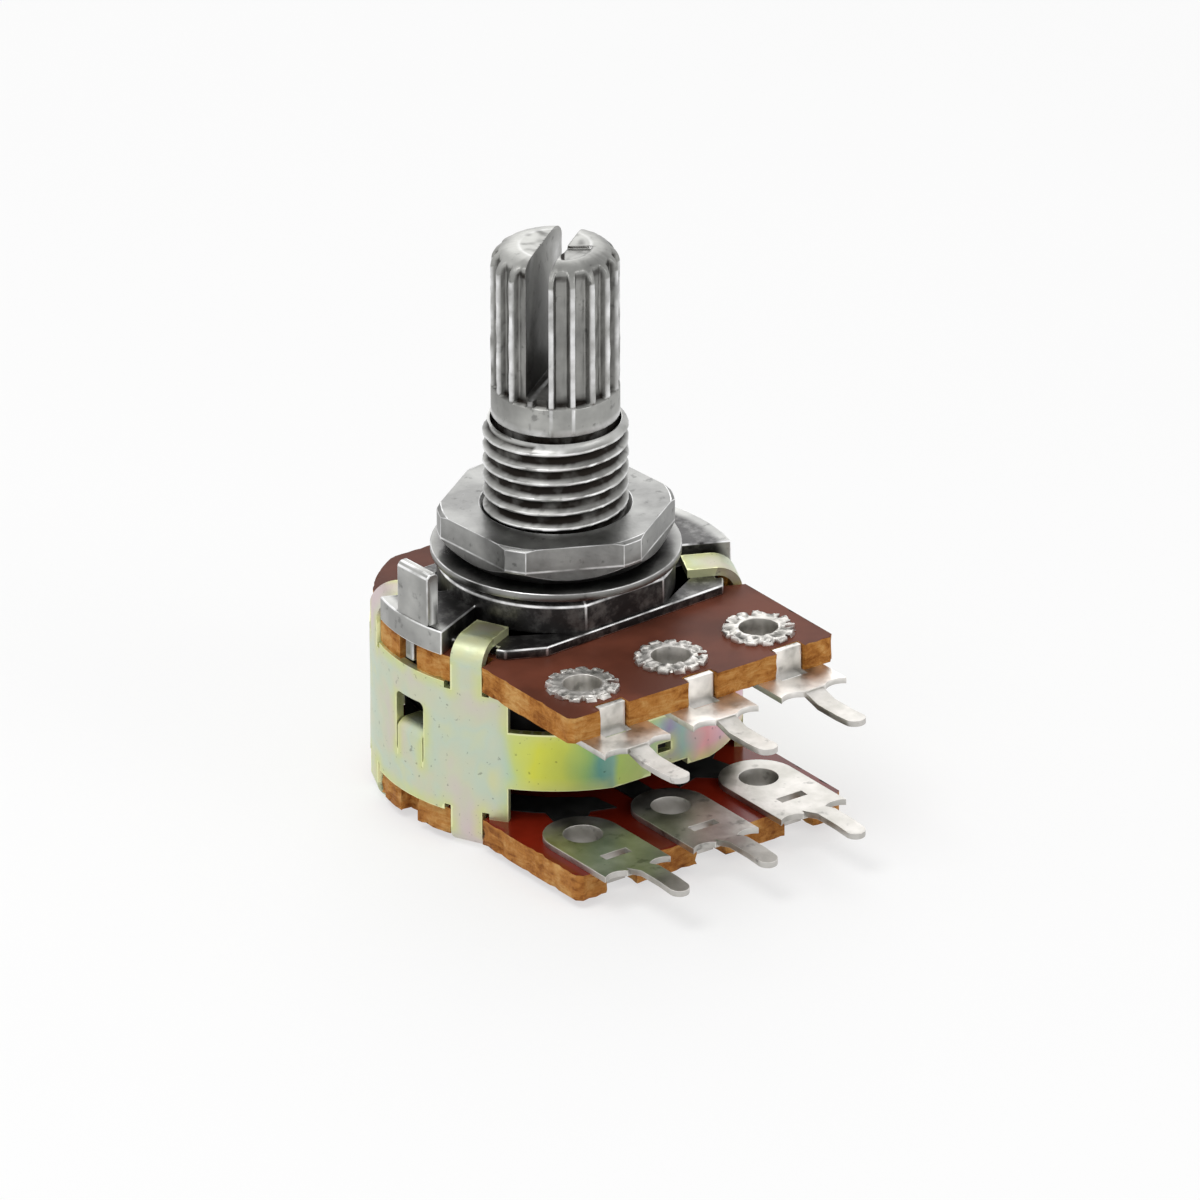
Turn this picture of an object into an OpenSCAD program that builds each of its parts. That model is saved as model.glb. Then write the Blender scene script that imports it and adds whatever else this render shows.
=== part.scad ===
// Dual rotary potentiometer with a split knurled shaft and a threaded bush
// Z points up along the shaft, the six solder pins point along -Y, the part stands on its four bracket feet

/* [Shaft] */
// Diameter of the shaft, over the knurl and in the bush
shaft_d = 5.95; // [5.85:0.05:5.95]
// Height of the shaft tip above the mounting face
shaft_reach = 15.4; // [15:0.2:20]
// Length of the knurled end, tip chamfer included
knurl_len = 7.0; // [6:0.2:7.2]
// Number of knurl teeth
knurl_teeth = 18; // [12:1:24]
// Depth of the knurl grooves
knurl_depth = 0.3; // [0.15:0.05:0.35]
// Length of the tapered tip
tip_len = 1.0; // [0.6:0.1:1.4]
// Radius of the flat left in the middle of the rounded tip
tip_flat = 1.65; // [1.4:0.05:2]
// Direction of one knurl crest
knurl_turn = 10; // [0:1:20]
// Width of the slot across the tip
slot_w = 1.2; // [0.8:0.1:1.4]
// Depth of the slot from the tip
slot_depth = 6.7; // [5:0.1:6.8]
// Direction of the slot about the axis
slot_angle = 36; // [0:1:90]
// Diameter of the disc that holds the shaft in, under the plate
disc_d = 7.0; // [6.6:0.1:7.2]
// Distance across the two drive flats
drive_flat = 3.6; // [3:0.1:4.2]

/* [Bush and plate] */
// Outer diameter of the threaded neck, over the thread
thread_d = 6.75; // [6.7:0.05:7]
// Diameter at which the nut's thread meets the neck's thread
engaged_d = 6.4; // [6.35:0.05:6.5]
// Height of the neck above the mounting face
neck_h = 6.7; // [6:0.1:7]
// Running clearance between shaft and bush, on the radius
running_clear = 0.05; // [0.03:0.01:0.08]
// Diameter of the boss
boss_d = 11.0; // [10.6:0.1:11.4]
// Distance between the boss's two flats
boss_flat = 10.0; // [9.6:0.1:10.4]
// Height of the mounting face above the upper board
boss_h = 2.2; // [1.8:0.1:2.6]
// Thickness of the thin flange under the boss
flange_t = 0.5; // [0.4:0.05:0.7]
// Distance of the thin flange inside the bracket's outer surface
flange_inset = 0.9; // [0.8:0.1:1.1]
// Width of the flange's straight edges beside the boss's flats
flange_lip = 0.15; // [0.05:0.05:0.3]
// Thickness of the two side lobes
lobe_t = 1.2; // [1:0.1:1.5]
// Width of the locating lug
lug_w = 2.2; // [2:0.1:3]
// Thickness of the locating lug
lug_t = 0.7; // [0.5:0.1:1]
// Height of the locating lug above the mounting face
lug_h = 1.55; // [1:0.05:2]
// Turn of the plate on the boards, with its lug and the flats of its boss
plate_turn = 3; // [0:1:4]

/* [Nut and washer] */
// Distance across the nut's flats
nut_af = 10.0; // [9.8:0.1:11]
// Thickness of the nut
nut_t = 2.0; // [1.6:0.1:2.5]
// Clearance of the nut on the neck, on the radius
nut_clear = 0.02; // [0.01:0.01:0.05]
// Diameter of the washer
washer_d = 11.6; // [11:0.1:12]
// Thickness of the washer
washer_t = 0.4; // [0.3:0.05:0.6]

/* [Boards] */
// Thickness of each board
board_t = 1.25; // [1.1:0.05:1.3]
// Space between the two boards
gang_gap = 6.5; // [6.5:0.25:8]
// Distance of the boards' round edge inside the bracket's outer surface
board_inset = 0.15; // [0.1:0.05:0.2]
// Width of the terminal part of the boards
board_w = 15.0; // [14.8:0.1:15.4]
// Distance of the boards' front edge from the axis
board_front = 11.4; // [11.2:0.1:11.6]
// Reach of the lower board in front of the axis
low_board_front = 12.0; // [11.8:0.1:12.2]
// Depth of the flat at the rear of the boards
rear_flat = 0.95; // [0.4:0.05:1.1]
// Clearance of the holding disc in the upper board, on the radius
disc_clear = 0.25; // [0.15:0.05:0.3]

/* [Terminals] */
// Distance between neighbouring terminals
pitch = 5.0; // [4.8:0.1:5.1]
// Thickness of the terminal sheet
blade_t = 0.3; // [0.25:0.05:0.4]
// Width of the terminal blades
blade_w = 3.7; // [3.4:0.1:3.8]
// Distance of the eyelets from the axis
eye_y = 8.9; // [8.8:0.05:9]
// Bore of the drawn eyelets
eye_bore = 1.85; // [1.6:0.05:1.9]
// Wall of the drawn eyelets
eye_wall = 0.2; // [0.15:0.05:0.25]
// Diameter of the flared star flanges
star_d = 3.45; // [3.2:0.05:3.6]
// Width of the solder pins
pin_w = 1.0; // [0.9:0.05:1.1]
// Distance of the pin tips from the axis
pin_end = 16.8; // [16:0.1:18]
// Height of the step in the pins
pin_step = 0.32; // [0.2:0.02:0.4]
// Width of the small holding tabs
hold_w = 1.45; // [1.2:0.05:1.5]

/* [Bracket] */
// Thickness of the bracket sheet
sheet_t = 0.4; // [0.35:0.05:0.45]
// Outer radius of the bracket wall, flush with the lobes of the plate
wall_r = 8.6; // [8.4:0.05:8.8]
// Width of the eight bent tabs
tab_w = 1.65; // [1.5:0.05:1.8]
// Angle of the tabs from the X axis
tab_angle = 25; // [24:0.5:26]
// Angle from the X axis at which the full wall ends at the front
wall_end = 39; // [37:0.5:41]
// Height of the front band above the lower board
band_lift = 1.7; // [1.5:0.1:2]
// Height of the front band itself
band_h = 2.85; // [2.4:0.05:3]
// Depth of the flat at the front of the band
band_flat = 0.45; // [0.3:0.05:0.5]
// Width of the window round the lanced stop
window_w = 2.0; // [1.8:0.05:2.1]
// Height of the window
window_h = 3.1; // [2.9:0.1:3.3]

/* [Rotors and tracks] */
// Space between the rotors and the bracket wall
rotor_gap = 1.2; // [1.1:0.1:1.4]
// Thickness of the rotor discs
rotor_t = 2.0; // [1.8:0.1:2.1]
// Half of the angle that the rotor's stop lug takes up
stop_half = 20.5; // [18:0.5:21]
// Thickness of the wiper spring sheet
spring_t = 0.15; // [0.1:0.05:0.2]
// Thickness of the printed tracks
track_t = 0.05; // [0.03:0.01:0.08]
// Space between the resistive tracks and the bracket wall
track_gap = 0.8; // [0.7:0.1:1]

/* [Hidden] */
round_n = 96;
small_n = 32;
cut = 0.01;

zinc = [0.66, 0.66, 0.67];
steel = [0.62, 0.63, 0.62];
yellow_steel = [0.78, 0.78, 0.58];
phenolic = [0.42, 0.17, 0.09];
tinned = [0.86, 0.85, 0.82];
plastic = [0.13, 0.13, 0.14];
spring_metal = [0.80, 0.74, 0.62];
carbon = [0.11, 0.10, 0.10];

// Heights, from the feet up
low_board_z = sheet_t;
low_face_z = low_board_z + board_t;
up_face_z = low_face_z + gang_gap;
plate_z = up_face_z + board_t;
face_z = plate_z + boss_h;
tip_z = face_z + shaft_reach;
knurl_z = tip_z - knurl_len;
mid_z = (low_face_z + up_face_z) / 2;

// Bracket values
wall_in = wall_r - sheet_t;
band_front = wall_r - band_flat;
tongue_z = plate_z + flange_t;
up_bend = 1.2;
down_bend = 0.9;
up_tip = wall_r - up_bend - 0.74 * (wall_r - up_bend - boss_d / 2);
down_tip = wall_r - 2.4;
relief_w = 0.35;
tab_dirs = [180 + tab_angle, 360 - tab_angle, tab_angle, 180 - tab_angle];
band_lo = low_face_z + band_lift;
window_angle = 182;
window_lo = low_face_z + 1.85;
window_round = 0.3;
stop_w = window_w - 0.15;
stop_top = window_lo + 1.65;
stop_bend = 0.6;
stop_reach = wall_r - 1.4;

// Nut values
nut_turn = 34;
nut_corner = nut_af / 2 + 0.5;
nut_foot = nut_af / 2 - 0.35;

// Plate values
plate_r = wall_r;
flange_r = wall_r - flange_inset;
flange_front = boss_flat / 2 + flange_lip;

// Rotor values
rotor_r = wall_in - rotor_gap;
rotor_space = 0.1;
hub_r = 3.3;
disc_t = 1.0;
disc_lo = plate_z - 0.1 - disc_t;
drive_r = 2.5;
tail_r = 1.45;
tail_clear = 0.05;
stop_r = wall_in - band_flat - 0.15;
stop_h = 1.3;
stop_drop = 0.5;
finger_w = 0.6;

peg_r = rotor_r - 1.0;
wiper_x = 2.6 - 0.743 * rotor_r;
wiper_pegs = [for (a = [135, 122]) peg_r * [cos(a), sin(a)]];

// Boards and what is printed on them
board_r = wall_r - board_inset;
board_rear = board_r - rear_flat;
upper_hole_d = disc_d + 2 * disc_clear;
track_out = wall_in - track_gap;
ring_in = upper_hole_d / 2 + 0.35;
ring_out = ring_in + 0.8;
track_in = track_out - 0.64 * (track_out - ring_out);
track_end = 242;
tab_gap = 0.1;
notch_r = wall_r - 1.0;
peg_angle = 181;
peg_w = 0.6;
eye_clear = 0.02;
hold_y = 10.9;

module ring_2d(r_out, r_in) {
    difference() {
        circle(r = r_out, $fn = round_n);
        circle(r = r_in, $fn = round_n);
    }
}

module wedge_2d(a0, a1, r) {
    steps = 8;
    points = [for (i = [0 : steps]) let (a = a0 + (a1 - a0) * i / steps) [r * cos(a), r * sin(a)]];
    polygon(concat([[0, 0]], points));
}

// Shaft: split knurled end, plain journal, holding disc, flatted drive and tail
module knurl_2d() {
    r0 = shaft_d / 2 + 0.02;
    r1 = shaft_d / 2 - knurl_depth;
    step = 360 / knurl_teeth;
    polygon([for (i = [0 : knurl_teeth - 1], k = [[-0.15, r0], [0.15, r0], [0.37, r1], [0.63, r1]])
        [k[1] * cos((i + k[0]) * step), k[1] * sin((i + k[0]) * step)]]);
}

module knurled_end() {
    steps = 6;
    r = shaft_d / 2;
    body_h = knurl_len - tip_len;
    dome = [for (i = [0 : steps]) let (a = 90 * i / steps)
        [tip_flat + (r - tip_flat) * cos(a), body_h + tip_len * sin(a)]];
    intersection() {
        rotate([0, 0, knurl_turn])
            linear_extrude(height = knurl_len)
                knurl_2d();
        rotate_extrude($fn = round_n)
            polygon(concat([[0, 0], [r, 0]], dome, [[0, knurl_len]]));
    }
}

module drive_2d() {
    intersection() {
        circle(r = drive_r, $fn = round_n);
        square([2 * drive_r + 1, drive_flat], center = true);
    }
}

module shaft() {
    tail_top = low_face_z + 0.25;
    color(zinc)
    difference() {
        union() {
            translate([0, 0, knurl_z])
                knurled_end();
            translate([0, 0, disc_lo])
                cylinder(d = shaft_d, h = knurl_z - disc_lo + cut, $fn = round_n);
            translate([0, 0, disc_lo])
                cylinder(d = disc_d, h = disc_t, $fn = round_n);
            translate([0, 0, tail_top])
                linear_extrude(height = disc_lo - tail_top + cut)
                    drive_2d();
            translate([0, 0, low_board_z + 0.05])
                cylinder(r = tail_r, h = tail_top - low_board_z, $fn = round_n);
        }
        rotate([0, 0, slot_angle])
            translate([-shaft_d, -slot_w / 2, tip_z - slot_depth])
                cube([2 * shaft_d, slot_w, slot_depth + 1]);
    }
}

// Front plate: thin flange, two lobes, boss with two flats, threaded neck, lug and peg
module flange_2d() {
    intersection() {
        circle(r = flange_r, $fn = round_n);
        rotate([0, 0, plate_turn])
            polygon([[3 - flange_r, -flange_front], [flange_r, -flange_front], [flange_r, flange_front],
                [3 - flange_r, flange_front], [1.1 - flange_r, flange_front - 1], [-flange_r - 1, 2],
                [-flange_r - 1, -2], [1.1 - flange_r, 1 - flange_front]]);
    }
}

module lobes_2d() {
    slot_half = tab_w / 2 + 0.48;
    difference() {
        intersection() {
            circle(r = plate_r, $fn = round_n);
            union() {
                wedge_2d(-tab_angle, tab_angle, 2 * plate_r);
                wedge_2d(180 - tab_angle, 180 + tab_angle, 2 * plate_r);
            }
        }
        for (a = tab_dirs)
            rotate([0, 0, a])
                translate([boss_d / 2 - 0.3, -slot_half])
                    square([plate_r, 2 * slot_half]);
    }
}

module boss() {
    bevel = 0.4;
    r = boss_d / 2;
    flat = boss_flat / 2;
    rotate([0, 0, plate_turn])
    intersection() {
        rotate_extrude($fn = round_n)
            polygon([[0, 0], [r, 0], [r, boss_h - bevel], [r - bevel, boss_h], [0, boss_h]]);
        rotate([90, 0, 90])
            linear_extrude(height = 2 * boss_d, center = true)
                polygon([[-flat, -1], [flat, -1], [flat, boss_h - bevel],
                    [flat - bevel, boss_h], [bevel - flat, boss_h], [-flat, boss_h - bevel]]);
    }
}

module neck() {
    lead = 0.2;
    r = thread_d / 2;
    grip_r = engaged_d / 2;
    grip_top = washer_t + nut_t;
    rotate_extrude($fn = round_n)
        polygon([[0, 0], [r, 0], [r, washer_t], [grip_r, washer_t], [grip_r, grip_top],
            [r, grip_top], [r, neck_h - lead], [r - lead, neck_h], [0, neck_h]]);
}

module lug() {
    top = boss_h + lug_h;
    bevel = 0.18;
    out = plate_r - 0.1;
    rotate([0, 0, 180 + plate_turn])
        rotate([90, 0, 0])
            linear_extrude(height = lug_w, center = true)
                polygon([[out - lug_t, 0], [out, 0], [out, top - bevel], [out - bevel, top],
                    [out - lug_t + bevel, top], [out - lug_t, top - bevel]]);
}

module peg() {
    peg_len = 1.0;
    rotate([0, 0, peg_angle])
        translate([plate_r - 0.65, -peg_w / 2, -peg_len])
            cube([0.5, peg_w, peg_len + 0.5]);
}

module front_plate() {
    bore_r = shaft_d / 2 + running_clear;
    mouth = 0.12;
    mouth_h = 0.3;
    color(zinc)
    translate([0, 0, plate_z])
    difference() {
        union() {
            linear_extrude(height = flange_t)
                difference() {
                    flange_2d();
                    for (a = tab_dirs)
                        rotate([0, 0, a])
                            translate([wall_r - up_bend - 0.1, -tab_w / 2 - 0.2])
                                square([flange_r, tab_w + 0.4]);
                }
            linear_extrude(height = lobe_t)
                lobes_2d();
            boss();
            translate([0, 0, boss_h])
                neck();
            lug();
            peg();
        }
        translate([0, 0, -1])
            cylinder(r = bore_r, h = boss_h + neck_h + 2, $fn = round_n);
        translate([0, 0, boss_h + neck_h - mouth_h])
            cylinder(r1 = bore_r, r2 = bore_r + mouth + mouth / mouth_h, h = mouth_h + 1, $fn = round_n);
    }
}

// Flat washer and hex nut on the neck
module flat_washer() {
    color(steel)
    translate([0, 0, face_z])
        linear_extrude(height = washer_t)
            ring_2d(washer_d / 2, thread_d / 2 + 0.1);
}

module hex_nut() {
    bore_r = engaged_d / 2 + nut_clear;
    mouth_r = thread_d / 2 + 0.15;
    mouth_h = 0.3;
    color(steel)
    translate([0, 0, face_z + washer_t])
    intersection() {
        rotate([0, 0, nut_turn])
            cylinder(d = nut_af / cos(30), h = nut_t, $fn = 6);
        rotate_extrude($fn = round_n)
            polygon([[mouth_r, 0], [nut_foot, 0], [nut_corner, 0.75], [nut_corner, nut_t - 0.12],
                [nut_corner - 0.2, nut_t], [mouth_r, nut_t], [bore_r, nut_t - mouth_h], [bore_r, mouth_h]]);
    }
}

// Bracket: wall between the boards, front band, eight bent tabs and the lanced stop
module bracket_ring_2d() {
    difference() {
        intersection() {
            circle(r = wall_r, $fn = round_n);
            translate([-2 * wall_r, -band_front])
                square(4 * wall_r);
        }
        intersection() {
            circle(r = wall_in, $fn = round_n);
            translate([-2 * wall_r, sheet_t - band_front])
                square(4 * wall_r);
        }
    }
}

module full_wall() {
    translate([0, 0, low_face_z])
        linear_extrude(height = gang_gap)
            difference() {
                bracket_ring_2d();
                wedge_2d(180 + wall_end, 360 - wall_end, 2 * wall_r);
            }
}

module front_band() {
    translate([0, 0, band_lo])
        linear_extrude(height = band_h)
            bracket_ring_2d();
}

module bend(r_out) {
    translate([0, tab_w / 2, 0])
        rotate([90, 0, 0])
            rotate_extrude(angle = 90, $fn = round_n)
                translate([r_out - sheet_t, 0])
                    square([sheet_t, tab_w]);
}

module up_tab() {
    top = tongue_z + sheet_t;
    bend_z = top - up_bend;
    translate([wall_in, -tab_w / 2, up_face_z - 0.3])
        cube([sheet_t, tab_w, bend_z - up_face_z + 0.3]);
    translate([wall_r - up_bend, 0, bend_z])
        bend(up_bend);
    translate([up_tip, -tab_w / 2, tongue_z])
        cube([wall_r - up_bend - up_tip, tab_w, sheet_t]);
}

module down_tab() {
    translate([wall_in, -tab_w / 2, down_bend])
        cube([sheet_t, tab_w, low_face_z + 0.3 - down_bend]);
    translate([wall_r - down_bend, 0, down_bend])
        mirror([0, 0, 1])
            bend(down_bend);
    translate([down_tip, -tab_w / 2, 0])
        cube([wall_r - down_bend - down_tip, tab_w, sheet_t]);
}

module window_2d() {
    square([window_w, window_h - 2 * window_round], center = true);
    square([window_w - 2 * window_round, window_h], center = true);
    for (x = [-1, 1], y = [-1, 1])
        translate([x * (window_w / 2 - window_round), y * (window_h / 2 - window_round)])
            circle(r = window_round, $fn = small_n);
}

// The lanced tab stands up in the window and ends in a lip that points inwards
module lanced_stop() {
    bend_z = stop_top - stop_bend;
    bend_x = wall_r - stop_bend;
    rotate([0, 0, window_angle])
        rotate([90, 0, 0])
            linear_extrude(height = stop_w, center = true)
                difference() {
                    union() {
                        translate([wall_in, window_lo - 0.1])
                            square([sheet_t, bend_z - window_lo + 0.1]);
                        intersection() {
                            translate([bend_x, bend_z])
                                circle(r = stop_bend, $fn = small_n);
                            translate([bend_x, bend_z])
                                square(stop_bend);
                        }
                        translate([stop_reach, stop_top - sheet_t])
                            square([bend_x - stop_reach + cut, sheet_t]);
                    }
                    translate([bend_x, bend_z])
                        circle(r = stop_bend - sheet_t, $fn = small_n);
                }
}

module tab_reliefs() {
    for (a = tab_dirs, s = [-1, 1])
        rotate([0, 0, a])
            translate([wall_in - 0.5, s * (tab_w / 2 + relief_w / 2) - relief_w / 2, 0]) {
                translate([0, 0, up_face_z - 0.3])
                    cube([2, relief_w, 0.4]);
                translate([0, 0, low_face_z - 0.1])
                    cube([2, relief_w, 0.4]);
            }
}

module band_cuts() {
    cut_d = 3 * sheet_t;
    translate([-0.2, -band_front - sheet_t, band_lo + 1.0])
        cube([0.75, cut_d, 0.45]);
    translate([-0.6, -band_front - sheet_t, band_lo - 0.1])
        cube([2.1, cut_d, 0.4]);
}

module bracket() {
    color(yellow_steel)
    union() {
        difference() {
            union() {
                full_wall();
                front_band();
                for (a = tab_dirs)
                    rotate([0, 0, a]) {
                        up_tab();
                        down_tab();
                    }
            }
            rotate([0, 0, window_angle])
                translate([wall_in - 0.5, 0, window_lo + window_h / 2])
                    rotate([90, 0, 90])
                        linear_extrude(height = 2)
                            window_2d();
            tab_reliefs();
            band_cuts();
        }
        lanced_stop();
    }
}

// Boards: round body with a terminal part at the front
module board_2d(front) {
    corner = 0.25;
    half = board_w / 2;
    difference() {
        intersection() {
            union() {
                circle(r = board_r, $fn = round_n);
                polygon([[-half, -pitch / 2], [-half, corner - front], [corner - half, -front],
                    [half - corner, -front], [half, corner - front], [half, -pitch / 2]]);
            }
            translate([-board_w, -2 * front])
                square([2 * board_w, 2 * front + board_rear]);
        }
        for (x = [-pitch, 0, pitch]) {
            translate([x, -eye_y])
                circle(d = eye_bore + 2 * eye_wall + 2 * eye_clear, $fn = small_n);
            translate([x - hold_w / 2 - 0.08, -front - 1])
                square([hold_w + 0.16, front + 1.08 - hold_y]);
        }
        for (a = tab_dirs)
            rotate([0, 0, a])
                translate([notch_r, -tab_w / 2 - tab_gap])
                    square([board_r, tab_w + 2 * tab_gap]);
        rotate([0, 0, peg_angle])
            translate([plate_r - 0.75, -0.75])
                square([2, 1.3]);
    }
}

module upper_board() {
    color(phenolic)
    translate([0, 0, up_face_z])
        linear_extrude(height = board_t)
            difference() {
                board_2d(board_front);
                circle(d = upper_hole_d, $fn = round_n);
            }
}

module lower_board() {
    color(phenolic)
    translate([0, 0, low_board_z])
        linear_extrude(height = board_t)
            difference() {
                board_2d(low_board_front);
                circle(r = tail_r + tail_clear, $fn = round_n);
            }
}

// Terminal: blade under the board, eyelet through it, star flange, holding tab and stepped pin
module blade_2d() {
    wing_y = 13.2;
    difference() {
        union() {
            translate([0, -eye_y])
                circle(d = blade_w, $fn = round_n);
            translate([-blade_w / 2, -wing_y])
                square([blade_w, wing_y - eye_y]);
        }
        for (s = [-1, 1])
            translate([s * 1.25, -wing_y - 0.65])
                circle(r = 0.9, $fn = small_n);
        translate([-hold_w / 2, -hold_y - 0.8])
            square([hold_w, 0.8]);
    }
}

module pin_plan_2d() {
    translate([-pin_w / 2, pin_w / 2 - pin_end])
        square([pin_w, pin_end - 12.6 - pin_w / 2]);
    translate([0, pin_w / 2 - pin_end])
        circle(d = pin_w, $fn = small_n);
}

module pin_side_2d() {
    line = [[-12.6, 0], [-12.9, 0], [-14.1, -pin_step], [-15.5, -pin_step], [-17.5, 0.14 - pin_step]];
    back = [for (i = [len(line) - 1 : -1 : 0]) [line[i][0], line[i][1] - blade_t]];
    polygon(concat(line, back));
}

module star_2d() {
    teeth = 13;
    step = 360 / teeth;
    difference() {
        polygon([for (i = [0 : teeth - 1], k = [[-0.32, 1], [0.28, 1], [0.42, 0.86], [0.56, 0.86]])
            star_d / 2 * k[1] * [cos((i + k[0]) * step), sin((i + k[0]) * step)]]);
        rotate([0, 0, -30])
            translate([star_d / 2 - 0.45, -0.16])
                square([1, 0.32]);
        circle(d = eye_bore, $fn = small_n);
    }
}

module terminal() {
    star_t = 0.2;
    translate([0, 0, -blade_t])
        linear_extrude(height = blade_t)
            difference() {
                blade_2d();
                translate([0, -eye_y])
                    circle(d = eye_bore, $fn = small_n);
            }
    intersection() {
        translate([0, 0, -2])
            linear_extrude(height = 4)
                pin_plan_2d();
        rotate([90, 0, 90])
            linear_extrude(height = 4, center = true)
                pin_side_2d();
    }
    translate([0, -eye_y, -blade_t])
        linear_extrude(height = blade_t + board_t + star_t)
            ring_2d(eye_bore / 2 + eye_wall, eye_bore / 2);
    translate([0, -eye_y, board_t])
        linear_extrude(height = star_t)
            star_2d();
    translate([-hold_w / 2, -hold_y - blade_t, -blade_t])
        cube([hold_w, blade_t + cut, blade_t + board_t]);
}

module upper_terminal(x) {
    color(tinned)
    translate([x, 0, up_face_z])
        terminal();
}

module lower_terminal(x) {
    color(tinned)
    translate([x, 0, low_face_z])
        mirror([0, 0, 1])
            terminal();
}

// Rotors on the drive flats, the upper one with the stop lug
module rotor_body(hub_h) {
    difference() {
        union() {
            cylinder(r = rotor_r, h = rotor_t, $fn = round_n);
            translate([0, 0, rotor_t - cut])
                cylinder(r = hub_r, h = hub_h + cut, $fn = round_n);
            for (p = wiper_pegs)
                translate([p[0], p[1], rotor_t - cut])
                    cylinder(r = 0.35, h = 0.35, $fn = small_n);
        }
        translate([0, 0, -1])
            linear_extrude(height = rotor_t + hub_h + 2)
                drive_2d();
        translate([0, 0, rotor_t - 0.5])
            linear_extrude(height = 1)
                difference() {
                    ring_2d(rotor_r - 1.4, rotor_r - 1.8);
                    translate([-rotor_r, 3])
                        square(rotor_r);
                }
    }
}

module upper_rotor() {
    color(plastic)
    translate([0, 0, mid_z + rotor_space])
    union() {
        rotor_body(disc_lo - mid_z - rotor_space - rotor_t);
        rotate([0, 0, window_angle - 180])
            intersection() {
                union() {
                    linear_extrude(height = stop_h)
                        ring_2d(stop_r, rotor_r - 0.5);
                    translate([0, 0, -stop_drop])
                        linear_extrude(height = stop_drop + cut)
                            ring_2d(stop_r, rotor_r + 0.15);
                }
                translate([0, 0, -stop_drop])
                    linear_extrude(height = stop_drop + stop_h)
                        wedge_2d(-stop_half, stop_half, 2 * stop_r);
            }
    }
}

module lower_rotor() {
    color(plastic)
    translate([0, 0, mid_z - rotor_space])
        mirror([0, 0, 1])
            rotor_body(mid_z - rotor_space - rotor_t - low_face_z - 0.25);
}

// Wipers: a plate on the rotor with one finger for the track and one for the collector ring
module finger(y) {
    root_x = wiper_x - 0.3;
    rise = gang_gap / 2 - rotor_space - rotor_t - track_t - spring_t - 0.1;
    lean = atan2(rise, -root_x);
    translate([root_x, y - finger_w / 2, 0])
        rotate([0, -lean, 0])
            cube([-root_x / cos(lean), finger_w, spring_t]);
}

module wiper() {
    linear_extrude(height = spring_t)
        difference() {
            intersection() {
                ring_2d(rotor_r - 0.15, hub_r + 0.2);
                translate([wiper_x - 2.6, 0.486 * rotor_r])
                    square([2.6, rotor_r]);
            }
            for (p = wiper_pegs)
                translate(p)
                    circle(r = 0.35, $fn = small_n);
        }
    finger((ring_in + ring_out) / 2 - 0.1);
    finger(peg_r);
}

module upper_wiper() {
    color(spring_metal)
    translate([0, 0, mid_z + rotor_space + rotor_t])
        wiper();
}

module lower_wiper() {
    color(spring_metal)
    translate([0, 0, mid_z - rotor_space - rotor_t])
        mirror([0, 0, 1])
            wiper();
}

// Printed tracks on the inner faces of the boards
module track_pad_2d() {
    polygon(pitch * [[-0.95, -1.12], [-1.04, -1.48], [-0.78, -1.5], [-0.6, -1.35], [-0.36, -1.43],
        [-0.4, -1.14], [-0.58, -1.02]]);
}

module resistive_track() {
    difference() {
        union() {
            rotate([0, 0, 180 - track_end])
                rotate_extrude(angle = 2 * track_end - 180, $fn = round_n)
                    translate([track_in, 0])
                        square([track_out - track_in, track_t]);
            linear_extrude(height = track_t) {
                track_pad_2d();
                mirror([1, 0])
                    track_pad_2d();
            }
        }
        for (x = [-pitch, pitch])
            translate([x, -eye_y, -1])
                cylinder(d = blade_w, h = 2, $fn = round_n);
    }
}

module collector_2d() {
    lead_w = 0.26 * pitch;
    difference() {
        union() {
            ring_2d(ring_out, ring_in);
            translate([-lead_w / 2, -track_out])
                square([lead_w, track_out - ring_out + 0.1]);
        }
        translate([0, -eye_y])
            circle(d = blade_w, $fn = round_n);
    }
}

module upper_resistive_track() {
    color(carbon)
    translate([0, 0, up_face_z - track_t])
        resistive_track();
}

module upper_collector_ring() {
    color(carbon)
    translate([0, 0, up_face_z - track_t])
        linear_extrude(height = track_t)
            collector_2d();
}

module lower_resistive_track() {
    color(carbon)
    translate([0, 0, low_face_z])
        resistive_track();
}

module lower_collector_ring() {
    color(carbon)
    translate([0, 0, low_face_z])
        linear_extrude(height = track_t)
            collector_2d();
}

shaft();
front_plate();
hex_nut();
flat_washer();
bracket();
upper_board();
lower_board();
upper_terminal(-pitch);  // upper_terminal_left
upper_terminal(0);  // upper_terminal_centre
upper_terminal(pitch);  // upper_terminal_right
lower_terminal(-pitch);  // lower_terminal_left
lower_terminal(0);  // lower_terminal_centre
lower_terminal(pitch);  // lower_terminal_right
upper_rotor();
lower_rotor();
upper_wiper();
lower_wiper();
upper_resistive_track();
upper_collector_ring();
lower_resistive_track();
lower_collector_ring();
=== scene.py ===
"""Looks of a dual rotary potentiometer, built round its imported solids."""

import math

import bmesh
import bpy
from bpy.props import FloatProperty, FloatVectorProperty, IntProperty, PointerProperty
from mathutils import Matrix, Vector, kdtree, noise


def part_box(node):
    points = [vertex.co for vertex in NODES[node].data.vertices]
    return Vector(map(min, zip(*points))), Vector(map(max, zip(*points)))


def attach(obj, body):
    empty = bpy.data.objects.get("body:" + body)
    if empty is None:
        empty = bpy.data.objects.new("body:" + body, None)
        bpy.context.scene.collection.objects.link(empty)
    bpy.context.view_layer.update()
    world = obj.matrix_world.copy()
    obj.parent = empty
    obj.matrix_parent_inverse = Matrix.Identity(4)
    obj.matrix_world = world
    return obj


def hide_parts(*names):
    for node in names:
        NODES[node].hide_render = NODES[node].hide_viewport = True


bl_info = {
    "name": "Dual rotary potentiometer",
    "version": (1, 0, 0),
    "blender": (4, 5, 0),
    "location": "View3D > Sidebar > Potentiometer",
    "description": "Dresses the solids of a dual rotary potentiometer with fine shapes and materials",
    "category": "Object",
}

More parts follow.
